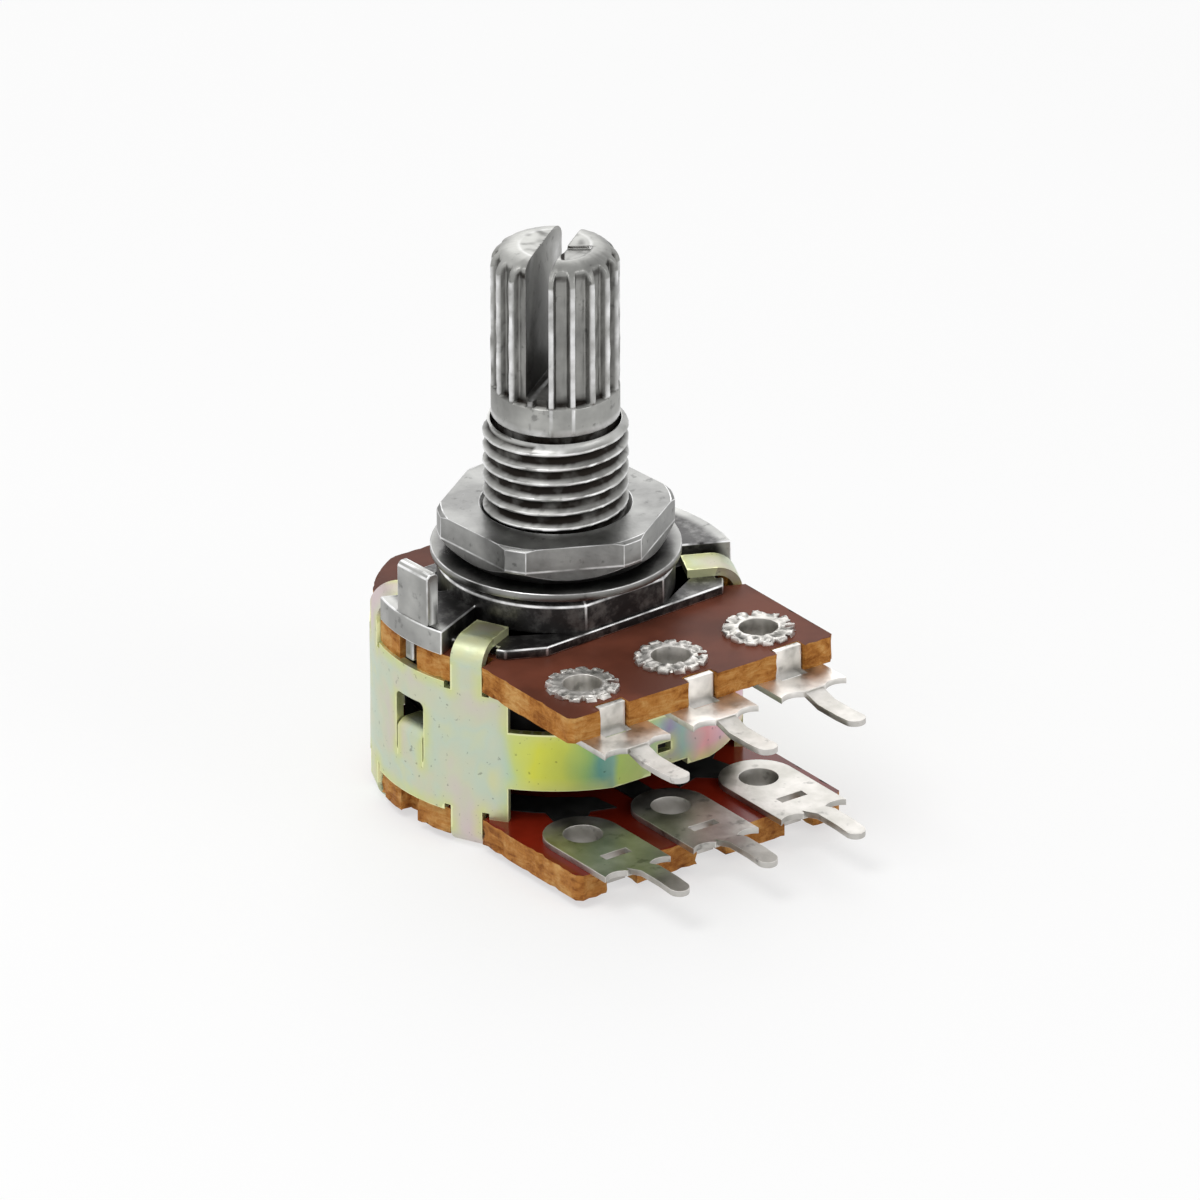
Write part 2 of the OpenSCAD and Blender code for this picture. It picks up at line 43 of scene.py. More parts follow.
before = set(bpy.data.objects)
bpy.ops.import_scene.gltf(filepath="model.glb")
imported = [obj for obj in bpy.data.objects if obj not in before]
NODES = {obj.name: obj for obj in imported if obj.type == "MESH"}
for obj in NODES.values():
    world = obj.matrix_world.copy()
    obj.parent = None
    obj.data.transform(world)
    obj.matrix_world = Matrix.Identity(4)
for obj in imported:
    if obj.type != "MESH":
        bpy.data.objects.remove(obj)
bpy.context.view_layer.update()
MM = 0.001
HOUSING = "housing"
TURNING = "rotating_group"

# Heights and radii in millimetres, taken from the solids where they say them
FACE_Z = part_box("flat_washer")[0].z / MM
NECK_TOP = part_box("front_plate")[1].z / MM
NUT_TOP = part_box("hex_nut")[1].z / MM
TIP_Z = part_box("shaft")[1].z / MM
BOARD_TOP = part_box("upper_board")[1].z / MM
TAB_REACH = 1.3
FLANGE_R = 2.2
EYELET_INSET = 1.7
BORE_R = 3.03
NECK_R = 3.375
SHAFT_R = 2.975
WALL_R = 8.6

# The shaft's end, in millimetres and degrees round the shaft
KNURL_Z = 20.0
CREST_ANGLE = 10.0
POINTS_PER_TOOTH = 20
TIP_LEN = 1.0
TIP_FLAT = 1.65
TIP_STEP = 0.14
TIP_STEP_ANGLE = 233.9
SLOT_FLOOR = 20.3
SLOT_W = 1.2
SLOT_ANGLE = 36.0
FLASH_ANGLES = (230, 250)
FLASH_HEIGHT = 0.03
UNDERCUT = 0.2

# Where the bracket's chromate film changes, in metres
BAND_FRONT = (-0.0050, -0.0057)
BAND_TOP = 0.0065
BAND_ENDS = (-0.007, 0.005)
TAB_BENDS = (0.0099, 0.0106)

# The camera that was fitted to the photograph, in degrees and millimetres
CAMERA_TURN = -36.114
CAMERA_TILT = 25.524
CAMERA_ROLL = -0.152
CAMERA_LENS = 734.2
CAMERA_DISTANCE = 1125.2
CAMERA_AIM = Vector((0, 0, 11.95))
CAMERA_RIGHT = 2.023
CAMERA_DOWN = 2.690

# The light: how bright the world is, and each lamp's name, place, width and power
WORLD_LEVEL = 0.6
LAMPS = (
    ("rear softbox", (0.35, 0.48, 0.37), 0.5, 0.82),
    ("overhead lamp", (-0.16, -0.02, 0.34), 0.2, 0.45),
    ("front lamp", (0.15, -0.35, 0.2), 0.2, 0.2),
)
LAMP_TARGET = Vector((0, 0, 0.012))

# Meshes


def smooth_step(low, high, value):
    t = min(max((value - low) / (high - low), 0.0), 1.0)
    return t * t * (3 - 2 * t)


def welded(node):
    """A merged copy of a CAD node's mesh, with its flat faces joined again."""
    bm = bmesh.new()
    bm.from_mesh(NODES[node].data)
    bmesh.ops.remove_doubles(bm, verts=bm.verts, dist=2e-6)
    bmesh.ops.dissolve_limit(bm, angle_limit=math.radians(0.6), verts=bm.verts, edges=bm.edges)
    return bm


def bevelled(bm, width, angle=28, segments=2, clamp=True):
    """Rounds the outer sharp edges and marks the middle of each rounding for wear and a painted highlight.
    """
    least = math.radians(angle)
    sharp = [e for e in bm.edges if len(e.link_faces) == 2 and e.calc_face_angle_signed(0) > least]
    made = bmesh.ops.bevel(
        bm,
        geom=sharp,
        offset=width * MM,
        offset_type="OFFSET",
        segments=segments,
        profile=0.5,
        affect="EDGES",
        clamp_overlap=clamp,
        material=-1,
    )
    layer = bm.verts.layers.float.get("wear_and_highlight") or bm.verts.layers.float.new("wear_and_highlight")
    rounded = set(made["faces"])
    for v in bm.verts:
        if v.link_faces and all(f in rounded for f in v.link_faces):
            v[layer] = 1.0
    return bm


def paint(bm, name, rule):
    """Stores rule(x, y, z in mm) on every point as the named value."""
    layer = bm.verts.layers.float.get(name) or bm.verts.layers.float.new(name)
    for v in bm.verts:
        v[layer] = max(v[layer], rule(v.co.x / MM, v.co.y / MM, v.co.z / MM))
    return bm


def piece(name, bm, material, slot, body, *replaced, smooth=40):
    """Makes the object, gives it its material and says which body and nodes it stands for.

    Edges sharper than the angle smooth stay sharp, or those that the mesh itself marks if it is None.
    """
    mesh = bpy.data.meshes.new(name)
    bm.to_mesh(mesh)
    bm.free()
    for polygon in mesh.polygons:
        polygon.use_smooth = True
    if smooth:
        mesh.set_sharp_from_angle(angle=math.radians(smooth))
    obj = bpy.data.objects.new(name, mesh)
    bpy.context.scene.collection.objects.link(obj)
    mesh.materials.append(material)
    weights = obj.modifiers.new("flat faces stay flat", "WEIGHTED_NORMAL")
    weights.keep_sharp = True
    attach(obj, body)
    if replaced:
        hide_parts(*replaced)
    return obj


def dress(node, finish):
    """Gives a CAD node that stays in the scene its finish."""
    materials = NODES[node].data.materials
    materials.clear()
    materials.append(finish_of(finish))


def sliced(bm, height, **options):
    """Cuts the whole mesh with a level plane at a height in mm."""
    everything = bm.verts[:] + bm.edges[:] + bm.faces[:]
    place = (0, 0, height * MM)
    bmesh.ops.bisect_plane(bm, geom=everything, plane_co=place, plane_no=(0, 0, 1), **options)
    return bm


def edges_between(bm, verts):
    """The edges whose two ends are both among these points."""
    ring = set(verts)
    return [e for e in bm.edges if e.verts[0] in ring and e.verts[1] in ring]


def next_ring(bm, edges, shape):
    """Extrudes an open loop and places each new point with shape(point)."""
    made = bmesh.ops.extrude_edge_only(bm, edges=edges)["geom"]
    verts = [g for g in made if isinstance(g, bmesh.types.BMVert)]
    for v in verts:
        v.co = shape(v.co)
    new_edges = [g for g in made if isinstance(g, bmesh.types.BMEdge)]
    return [e for e in new_edges if e.verts[0] in verts and e.verts[1] in verts]


def at_radius(co, radius, z):
    flat = Vector((co.x, co.y, 0)).normalized() * radius
    return Vector((flat.x, flat.y, z))


# Shader helpers


def group(name, inputs, outputs):
    """An empty shader group with float and colour sockets."""
    made = bpy.data.node_groups.new(name, "ShaderNodeTree")
    kinds = {"f": "NodeSocketFloat", "c": "NodeSocketColor"}
    for label, kind, value in inputs:
        socket = made.interface.new_socket(label, in_out="INPUT", socket_type=kinds[kind])
        socket.default_value = value
    for label, kind in outputs:
        made.interface.new_socket(label, in_out="OUTPUT", socket_type=kinds[kind])
    nodes = made.nodes
    return made, nodes.new("NodeGroupInput").outputs, nodes.new("NodeGroupOutput").inputs


class Tree:
    """Short calls that place and join shader nodes."""

    def __init__(self, tree):
        self.tree = tree

    def put(self, socket, value):
        if isinstance(value, bpy.types.NodeSocket):
            self.tree.links.new(value, socket)
        elif value is not None:
            socket.default_value = value

    def node(self, kind, **settings):
        made = self.tree.nodes.new("ShaderNode" + kind)
        for key, value in settings.items():
            setattr(made, key, value)
        return made

    def math(self, operation, a, b=None, clamp=False):
        made = self.node("Math", operation=operation, use_clamp=clamp)
        self.put(made.inputs[0], a)
        self.put(made.inputs[1], b)
        return made.outputs[0]

    def scaled(self, value, factor, offset):
        made = self.math("MULTIPLY_ADD", value, factor)
        made.node.inputs[2].default_value = offset
        return made

    def fade(self, value, low, high, start=0.0, end=1.0):
        """Goes smoothly from start at low to end at high."""
        made = self.node("MapRange", interpolation_type="SMOOTHSTEP")
        for label, number in (("From Min", low), ("From Max", high), ("To Min", start), ("To Max", end)):
            self.put(made.inputs[label], number)
        self.put(made.inputs["Value"], value)
        return made.outputs[0]

    def split(self, vector):
        made = self.node("SeparateXYZ")
        self.put(made.inputs[0], vector)
        return made.outputs

    def mix(self, factor, a, b, blend="MIX"):
        made = self.node("Mix", data_type="RGBA", blend_type=blend, clamp_factor=True)
        self.put(made.inputs[0], factor)
        self.put(made.inputs[6], a)
        self.put(made.inputs[7], b)
        return made.outputs[2]

    def stretched_coords(self, scale):
        mapping = self.node("Mapping")
        mapping.inputs["Scale"].default_value = scale
        self.put(mapping.inputs["Vector"], self.node("TexCoord").outputs["Object"])
        return mapping.outputs[0]

    def noise(self, vector, scale, detail=3.0, rough=0.55, distortion=0.0):
        made = self.node("TexNoise")
        self.put(made.inputs["Vector"], vector)
        made.inputs["Scale"].default_value = scale
        made.inputs["Detail"].default_value = detail
        made.inputs["Roughness"].default_value = rough
        made.inputs["Distortion"].default_value = distortion
        return made.outputs["Fac"]

    def ramp(self, factor, stops):
        made = self.node("ValToRGB")
        elements = made.color_ramp.elements
        while len(elements) < len(stops):
            elements.new(0.5)
        for element, (position, colour) in zip(elements, stops):
            element.position = position
            element.color = (*colour, 1)
        self.put(made.inputs[0], factor)
        return made.outputs[0]

    def use(self, group_tree, **inputs):
        made = self.node("Group", node_tree=group_tree)
        for label, value in inputs.items():
            self.put(made.inputs[label.replace("_", " ")], value)
        return made.outputs

    def bump(self, height, strength, distance):
        made = self.node("Bump")
        made.inputs["Strength"].default_value = strength
        made.inputs["Distance"].default_value = distance
        self.put(made.inputs["Height"], height)
        return made.outputs[0]


def grey(value):
    return (value, value, value)


def grey_between(a, b):
    return tuple((x + y) / 2 for x, y in zip(a, b))


def painted_mask(name, attribute, spread, offset):
    """Mask of a value stored on the points, broken up by a fine noise."""
    made, into, out = group(name, [("Amount", "f", 1.0), ("Scale", "f", 900.0)], [("Mask", "f")])
    t = Tree(made)
    texture = t.node("TexNoise")
    t.put(texture.inputs["Vector"], t.node("TexCoord").outputs["Object"])
    t.put(texture.inputs["Scale"], into["Scale"])
    texture.inputs["Detail"].default_value = 3
    broken = t.scaled(texture.outputs["Fac"], spread, offset)
    stored = t.node("Attribute", attribute_name=attribute).outputs["Fac"]
    t.put(out["Mask"], t.math("MULTIPLY", t.math("MULTIPLY", stored, broken), into["Amount"], True))
    return made


def worn_and_highlit_edges():
    # Stored mask of wear and painted highlights on edges, crests and rims
    return painted_mask("Worn and highlit edges", "wear_and_highlight", 3.4, -1.0)


def ingrained_dirt_and_shade():
    # Stored mask of dirt and painted shade: creases, recesses and undercuts are painted darker
    return painted_mask("Ingrained dirt and shade", "grime_and_shade", 1.6, 0.2)


def ring_patina_and_shade():
    """Mottled dark patina and painted shade inside a radius and below a height, both in metres."""
    limits = [("Inner", "f", 0.007), ("Outer", "f", 0.008), ("Low", "f", 0.0115), ("High", "f", 0.0117)]
    made, into, out = group("Ring patina and shade", limits, [("Mask", "f")])
    t = Tree(made)
    coords = t.node("TexCoord").outputs["Object"]
    x, y, z = t.split(coords)
    radius = t.math("SQRT", t.math("ADD", t.math("MULTIPLY", x, x), t.math("MULTIPLY", y, y)))
    inside = t.fade(radius, into["Inner"], into["Outer"], 1.0, 0.0)
    below = t.fade(z, into["Low"], into["High"], 1.0, 0.0)
    mottled = t.fade(t.noise(coords, 1100, detail=4, rough=0.7), 0.68, 0.42)
    ring = t.math("MULTIPLY", inside, below)
    t.put(out["Mask"], t.math("MULTIPLY", ring, t.scaled(mottled, 0.35, 0.65), True))
    return made


def surface_grain():
    """Fine uneven skin of a metal or moulded surface: a value and a height."""
    takes = [("Coarse", "f", 500.0), ("Fine", "f", 3500.0)]
    made, into, out = group("Surface grain", takes, [("Patches", "f"), ("Height", "f")])
    t = Tree(made)
    coords = t.node("TexCoord").outputs["Object"]
    parts = []
    for label in ("Coarse", "Fine"):
        texture = t.node("TexNoise")
        t.put(texture.inputs["Vector"], coords)
        t.put(texture.inputs["Scale"], into[label])
        texture.inputs["Detail"].default_value = 4
        parts.append(texture.outputs["Fac"])
    t.put(out["Patches"], parts[0])
    t.put(out["Height"], t.math("ADD", parts[0], t.math("MULTIPLY", parts[1], 0.6)))
    return made


GROUPS = {}


def shared(name):
    if name not in GROUPS:
        GROUPS[name] = SHARED[name]()
    return GROUPS[name]


def new_material(name):
    material = bpy.data.materials.new(name)
    material.use_nodes = True
    tree = material.node_tree
    shader = tree.nodes["Principled BSDF"]
    return material, Tree(tree), shader.inputs


def metal(name, dark, light, edge, rough, coarse=500.0, fine=3500.0, bump=0.25, patina_and_shade=None):
    """A grained metal: soft patches, dirt and painted shade in the hollows, worn edges with a painted
    highlight, uneven gloss.
    """
    material, t, shader = new_material(name)
    coords = t.node("TexCoord").outputs["Object"]
    grain = t.use(shared("grain"), Coarse=coarse, Fine=fine)
    wear_and_highlight = t.use(shared("edges"))["Mask"]
    dirt_and_shade = t.use(shared("dirt_and_shade"))["Mask"]
    tone = t.ramp(grain["Patches"], [(0.34, dark), (0.5, grey_between(dark, light)), (0.64, light)])
    pits = t.fade(t.noise(coords, fine * 0.6, detail=3), 0.27, 0.4, 0.6, 1.0)
    tone = t.mix(1.0, tone, pits, "MULTIPLY")
    if patina_and_shade:
        # Dark patina with painted shade inside the given ring
        stain_and_shade = t.use(shared("patina_and_shade"), **patina_and_shade)["Mask"]
        tone = t.mix(stain_and_shade, tone, (0.05, 0.048, 0.048, 1))
    # Dirt and painted shade darken hollows, creases and recesses
    tone = t.mix(dirt_and_shade, tone, (0.024, 0.02, 0.017, 1))
    # Wear and painted highlights lighten rounded edges, crests and rims
    t.put(shader["Base Color"], t.mix(wear_and_highlight, tone, (*edge, 1)))
    shader["Metallic"].default_value = 1.0
    spread = t.scaled(grain["Patches"], 0.3, rough - 0.15)
    t.put(shader["Roughness"], t.math("ADD", spread, t.math("MULTIPLY", dirt_and_shade, 0.25), True))
    t.put(shader["Normal"], t.bump(grain["Height"], bump, 3e-5))
    return material


# Materials


def die_cast():
    """Grey casting with a soft skin, darker patches and rubbed edges with a painted highlight."""
    return metal("Die-cast zinc", (0.23, 0.23, 0.22), (0.45, 0.45, 0.43), grey(0.85), 0.4, 420, 2600, 0.5)


def cast_plate_skin():
    """The same casting, lighter, with dark patina and painted shade on its boss and round its foot."""
    patina_and_shade = {"Inner": 0.0078, "Outer": 0.0083, "Low": 0.01150, "High": 0.01158}
    dark, light = (0.3, 0.3, 0.29), (0.52, 0.52, 0.5)
    return metal("Die-cast zinc plate", dark, light, grey(0.95), 0.42, 420, 2600, 0.5, patina_and_shade)


def nickel_plate():
    dark, light = (0.17, 0.17, 0.165), (0.34, 0.34, 0.33)
    return metal("Nickel plated steel", dark, light, grey(0.85), 0.36, 520, 3600, 0.6)


def washer_plate():
    # Dark patina and painted shade on the washer's inner part, next to the nut
    patina_and_shade = {"Inner": 0.0050, "Outer": 0.0060, "Low": 0.0126, "High": 0.013}
    dark, light = (0.2, 0.2, 0.19), (0.34, 0.34, 0.33)
    return metal("Washer steel", dark, light, grey(0.8), 0.34, 350, 4200, 0.3, patina_and_shade)


def tin_plate():
    dark, light = (0.36, 0.35, 0.32), (0.64, 0.62, 0.59)
    return metal("Tinned brass", dark, light, (0.92, 0.89, 0.85), 0.42, 600, 2400, 0.7)


def chromate_film():
    """Colours of a yellow chromate film along the front band and on the rest of the bracket."""
    takes = [("Across", "f", 0.5), ("Thickness", "f", 0.5)]
    made, into, out = group("Chromate film", takes, [("Band", "c"), ("Wall", "c")])
    t = Tree(made)
    band = [
        (0.02, (0.42, 0.62, 0.52)),
        (0.06, (0.58, 0.66, 0.22)),
        (0.12, (0.68, 0.70, 0.09)),
        (0.20, (0.60, 0.66, 0.12)),
        (0.26, (0.34, 0.54, 0.20)),
        (0.31, (0.16, 0.38, 0.32)),
        (0.36, (0.24, 0.42, 0.34)),
        (0.39, (0.44, 0.58, 0.16)),
        (0.48, (0.44, 0.54, 0.20)),
        (0.56, (0.34, 0.56, 0.46)),
        (0.64, (0.34, 0.30, 0.46)),
        (0.71, (0.34, 0.50, 0.46)),
        (0.79, (0.78, 0.40, 0.42)),
        (0.88, (0.66, 0.44, 0.50)),
    ]
    t.put(out["Band"], t.ramp(into["Across"], band))
    wall = [
        (0.32, (0.65, 0.55, 0.55)),
        (0.42, (0.62, 0.58, 0.51)),
        (0.50, (0.60, 0.62, 0.47)),
        (0.57, (0.55, 0.63, 0.51)),
        (0.64, (0.63, 0.65, 0.40)),
        (0.74, (0.65, 0.57, 0.51)),
    ]
    t.put(out["Wall"], t.ramp(into["Thickness"], wall))
    return made


def chromated_steel():
    """Zinc plated sheet with a chromate film whose thickness drifts from the wall to the band."""
    material, t, shader = new_material("Chromated steel")
    grain = t.use(shared("grain"), Coarse=900, Fine=4500)
    coords = t.node("TexCoord").outputs["Object"]
    x, y, z = t.split(coords)
    front = t.fade(y, *BAND_FRONT)
    below_tabs = t.math("LESS_THAN", z, BAND_TOP)
    drift = t.scaled(t.noise(coords, 300, detail=2), 0.0018, -0.0009)
    across = t.node("MapRange")
    t.put(across.inputs["Value"], t.math("ADD", x, drift))
    across.inputs["From Min"].default_value = BAND_ENDS[0]
    across.inputs["From Max"].default_value = BAND_ENDS[1]
    clouds = t.noise(coords, 210, detail=3, distortion=0.3)
    film = t.use(shared("film"), Across=across.outputs[0], Thickness=clouds)
    colour = t.mix(t.math("MULTIPLY", front, below_tabs), film["Wall"], film["Band"])
    # Painted highlights along the cut edges: a broken yellow band near them and a pale line right on them
    rim = t.node("Attribute", attribute_name="rim").outputs["Fac"]
    broken_rim_highlight = t.math("MULTIPLY", rim, t.fade(t.noise(coords, 700, detail=3), 0.3, 0.6, 0.35, 1.0))
    colour = t.mix(t.math("MULTIPLY", broken_rim_highlight, 0.75), colour, (0.64, 0.68, 0.24, 1))
    wear_and_highlight = t.math("MULTIPLY", t.fade(rim, 0.93, 1.0), 0.8)
    bent_over = t.fade(z, *TAB_BENDS)
    colour = t.mix(t.math("MULTIPLY", bent_over, 0.75), colour, (0.20, 0.19, 0.09, 1))
    specks = t.fade(t.noise(coords, 3200, detail=2), 0.27, 0.33, 0.45, 1.0)
    colour = t.mix(0.7, colour, specks, "MULTIPLY")
    t.put(shader["Base Color"], t.mix(wear_and_highlight, colour, (0.86, 0.88, 0.52, 1)))
    shader["Metallic"].default_value = 0.85
    t.put(shader["Roughness"], t.scaled(grain["Patches"], 0.25, 0.32))
    t.put(shader["Normal"], t.bump(grain["Height"], 0.45, 3e-5))
    return material


def phenolic(name, face, rough, shine):
    """Paper laminate: a glossy red-brown face and a torn fibrous cut edge."""
    material, t, shader = new_material(name)
    coords = t.node("TexCoord").outputs["Object"]
    fibres = t.noise(t.stretched_coords((1, 1, 3)), 800, detail=6, rough=0.75, distortion=0.8)
    chunks = t.noise(t.stretched_coords((1, 1, 0.7)), 620, detail=5, rough=0.7)
    torn = t.mix(0.5, fibres, chunks)
    layers = [
        (0.33, (0.07, 0.018, 0.004)),
        (0.40, (0.26, 0.085, 0.014)),
        (0.50, (0.48, 0.20, 0.045)),
        (0.62, (0.66, 0.38, 0.13)),
    ]
    cut = t.ramp(torn, layers)
    clouds = t.fade(t.noise(coords, 240, detail=3), 0.35, 0.65)
    top = t.mix(clouds, tuple(c * 0.75 for c in face) + (1,), tuple(c * 1.2 for c in face) + (1,))
    normal = t.node("VectorTransform", vector_type="NORMAL", convert_from="WORLD", convert_to="OBJECT")
    t.put(normal.inputs[0], t.node("NewGeometry").outputs["True Normal"])
    on_face = t.math("GREATER_THAN", t.math("ABSOLUTE", t.split(normal.outputs[0])[2]), 0.8)
    t.put(shader["Base Color"], t.mix(on_face, cut, top))
    t.put(shader["Roughness"], t.scaled(on_face, rough - 0.6, 0.6))
    shader["Specular IOR Level"].default_value = shine
    t.put(shader["Normal"], t.bump(t.math("MULTIPLY", torn, t.math("SUBTRACT", 1.0, on_face)), 1.0, 2e-4))
    return material


def moulded_plastic():
    material, t, shader = new_material("Moulded rotor plastic")
    grain = t.use(shared("grain"), Coarse=700, Fine=4000)
    tones = [(0.35, (0.014, 0.014, 0.016)), (0.65, (0.03, 0.03, 0.032))]
    t.put(shader["Base Color"], t.ramp(grain["Patches"], tones))
    t.put(shader["Roughness"], t.scaled(grain["Patches"], 0.3, 0.3))
    t.put(shader["Normal"], t.bump(grain["Height"], 0.3, 2e-5))
    return material


def spring_bronze():
    dark, light = (0.55, 0.36, 0.18), (0.72, 0.5, 0.28)
    return metal("Spring bronze", dark, light, (0.9, 0.7, 0.45), 0.28, coarse=800)


def carbon_print():
    material, t, shader = new_material("Printed carbon")
    grain = t.use(shared("grain"), Coarse=1500, Fine=6000)
    t.put(shader["Base Color"], t.ramp(grain["Patches"], [(0.35, grey(0.008)), (0.65, grey(0.022))]))
    t.put(shader["Roughness"], t.scaled(grain["Patches"], 0.25, 0.35))
    t.put(shader["Normal"], t.bump(grain["Height"], 0.25, 1e-5))
    return material


def pale_floor():
    """Plain floor that is white to the camera and to shiny pieces, and keeps the soft shadow."""
    material, t, shader = new_material("Pale floor")
    texture = t.noise(t.node("TexCoord").outputs["Object"], 40, detail=2)
    t.put(shader["Base Color"], t.ramp(texture, [(0.0, grey(0.94)), (1.0, grey(0.97))]))
    shader["Roughness"].default_value = 0.9
    shader["Specular IOR Level"].default_value = 0.1
    tree = material.node_tree
    rays = t.node("LightPath").outputs
    white = t.node("Emission")
    white.inputs["Color"].default_value = (1, 1, 1, 1)
    white.inputs["Strength"].default_value = 1.0
    direct = t.math("MAXIMUM", rays["Is Camera Ray"], rays["Is Transmission Ray"])
    seen = t.math("MULTIPLY", t.math("MAXIMUM", direct, rays["Is Glossy Ray"]), 0.6)
    mixed = t.node("MixShader")
    t.put(mixed.inputs[0], seen)
    tree.links.new(shader["Base Color"].node.outputs[0], mixed.inputs[1])
    tree.links.new(white.outputs[0], mixed.inputs[2])
    tree.links.new(mixed.outputs[0], tree.nodes["Material Output"].inputs["Surface"])
    return material


SHARED = {
    "edges": worn_and_highlit_edges,
    "dirt_and_shade": ingrained_dirt_and_shade,
    "patina_and_shade": ring_patina_and_shade,
    "grain": surface_grain,
    "film": chromate_film,
}
MAKERS = {
    "shaft": die_cast,
    "plate": cast_plate_skin,
    "nut": nickel_plate,
    "washer": washer_plate,
    "tin": tin_plate,
    "chromate": chromated_steel,
    "carbon": carbon_print,
    "plastic": moulded_plastic,
    "bronze": spring_bronze,
}
READY = {}


def finish_of(name):
    if name not in READY:
        READY[name] = MAKERS[name]()
    return READY[name]


# Shaft


def tip_radius(z):
    """Radius of the rounded tip in mm at a height."""
    share = min(max((z - (TIP_Z - TIP_LEN)) / TIP_LEN, 0.0), 1.0)
    return TIP_FLAT + (SHAFT_R - TIP_FLAT) * math.sqrt(max(0.0, 1 - share * share))


def groove_share(angle, teeth):
    """Gives 0 on a crest of the knurl and 1 in the flat bottom of a groove."""
    step = 360 / teeth
    offset = abs((math.degrees(angle) - CREST_ANGLE + step / 2) % step - step / 2) / step
    return smooth_step(0.08, 0.24, offset)


def cast_unevenness(angle, z, amount=0.035):
    """How far in mm a rough casting lies off its true form."""
    x, y = math.cos(angle), math.sin(angle)
    coarse = noise.noise(Vector((x * 9, y * 9, z * 1.3)))
    fine = noise.noise(Vector((x * 25, y * 25, z * 5)))
    return (coarse + 0.4 * fine) * amount


def knurl_radius(angle, z, teeth, depth):
    """Radius of the knurled end in mm at an angle and height: crests between wide grooves."""
    grain = cast_unevenness(angle, z)
    return min(SHAFT_R - groove_share(angle, teeth) * depth + grain, tip_radius(z) + grain)


def on_flash(angle):
    """True on the two thin lines that the mould left on the collar."""
    return any(abs((math.degrees(angle) - a + 180) % 360 - 180) < 1.2 for a in FLASH_ANGLES)


def tip_step(co):
    """Drop in mm of the lower front part of the tip's right half."""
    facing = math.radians(TIP_STEP_ANGLE)
    forward = (co.x * math.cos(facing) + co.y * math.sin(facing)) / MM
    right = (co.y * math.cos(facing) - co.x * math.sin(facing)) / MM
    edge = 0.22 - 0.14 * (right - 1.2) ** 2
    return TIP_STEP * smooth_step(edge - 0.03, edge + 0.05, forward) * smooth_step(0.2, 0.5, right)


def plain_ring(radius, z):
    """Tells where a point of the ring goes on the round part of the shaft's end."""

    def place(co):
        angle = math.atan2(co.y, co.x)
        raised = FLASH_HEIGHT if radius == SHAFT_R and on_flash(angle) else 0.0
        return at_radius(co, (radius + raised + cast_unevenness(angle, z, 0.01)) * MM, z * MM)

    return place


def toothed_ring(z, teeth, depth):
    """Tells where a point of the ring goes on the knurl."""

    def place(co):
        return at_radius(co, knurl_radius(math.atan2(co.y, co.x), z, teeth, depth) * MM, z * MM)

    return place


def tip_ring(share):
    """Tells where a point of the ring goes on the flat of the tip, at a share of its radius."""

    def place(co):
        flat = at_radius(co, TIP_FLAT * share * MM, TIP_Z * MM)
        return flat - Vector((0, 0, (tip_step(flat) + 0.01 * (1 - share)) * MM))

    return place


def knurled_end(props):
    """The collar and the knurled end as rings of points pushed up the shaft, closed by the flat tip."""
    teeth = props.knurl_teeth
    depth = props.knurl_depth / MM
    points = teeth * POINTS_PER_TOOTH
    bm = bmesh.new()
    ring = bmesh.ops.create_circle(bm, cap_ends=False, segments=points, radius=SHAFT_R * MM)["verts"]
    low = plain_ring(SHAFT_R, NECK_TOP - 0.9)
    for v in ring:
        v.co = low(v.co)
    start = edges_between(bm, ring)
    edges = start
    for radius, z in (
        (SHAFT_R, NECK_TOP - 0.5),
        (SHAFT_R - UNDERCUT, NECK_TOP - 0.4),
        (SHAFT_R - UNDERCUT, NECK_TOP + 0.24),
        (SHAFT_R - 0.04, NECK_TOP + 0.28),
        (SHAFT_R, NECK_TOP + 0.34),
        (SHAFT_R, NECK_TOP + 0.7),
        (SHAFT_R, KNURL_Z - 0.07),
        (SHAFT_R - 0.03, KNURL_Z - 0.02),
    ):
        edges = next_ring(bm, edges, plain_ring(radius, z))
    foot = KNURL_Z + 0.12
    shoulder = TIP_Z - TIP_LEN
    steps = 26
    heights = [KNURL_Z, foot]
    heights += [foot + (shoulder - foot) * (i + 1) / steps for i in range(steps)]
    heights += [shoulder + TIP_LEN * math.sin(math.radians(6 * (i + 1))) for i in range(14)]
    for z in heights:
        edges = next_ring(bm, edges, toothed_ring(z, teeth, depth))
    rings = 16
    for i in range(rings):
        edges = next_ring(bm, edges, tip_ring(1 - i / rings))
    bmesh.ops.holes_fill(bm, edges=edges, sides=0)
    bmesh.ops.holes_fill(bm, edges=start, sides=0)
    bmesh.ops.recalc_face_normals(bm, faces=bm.faces)
    return bm


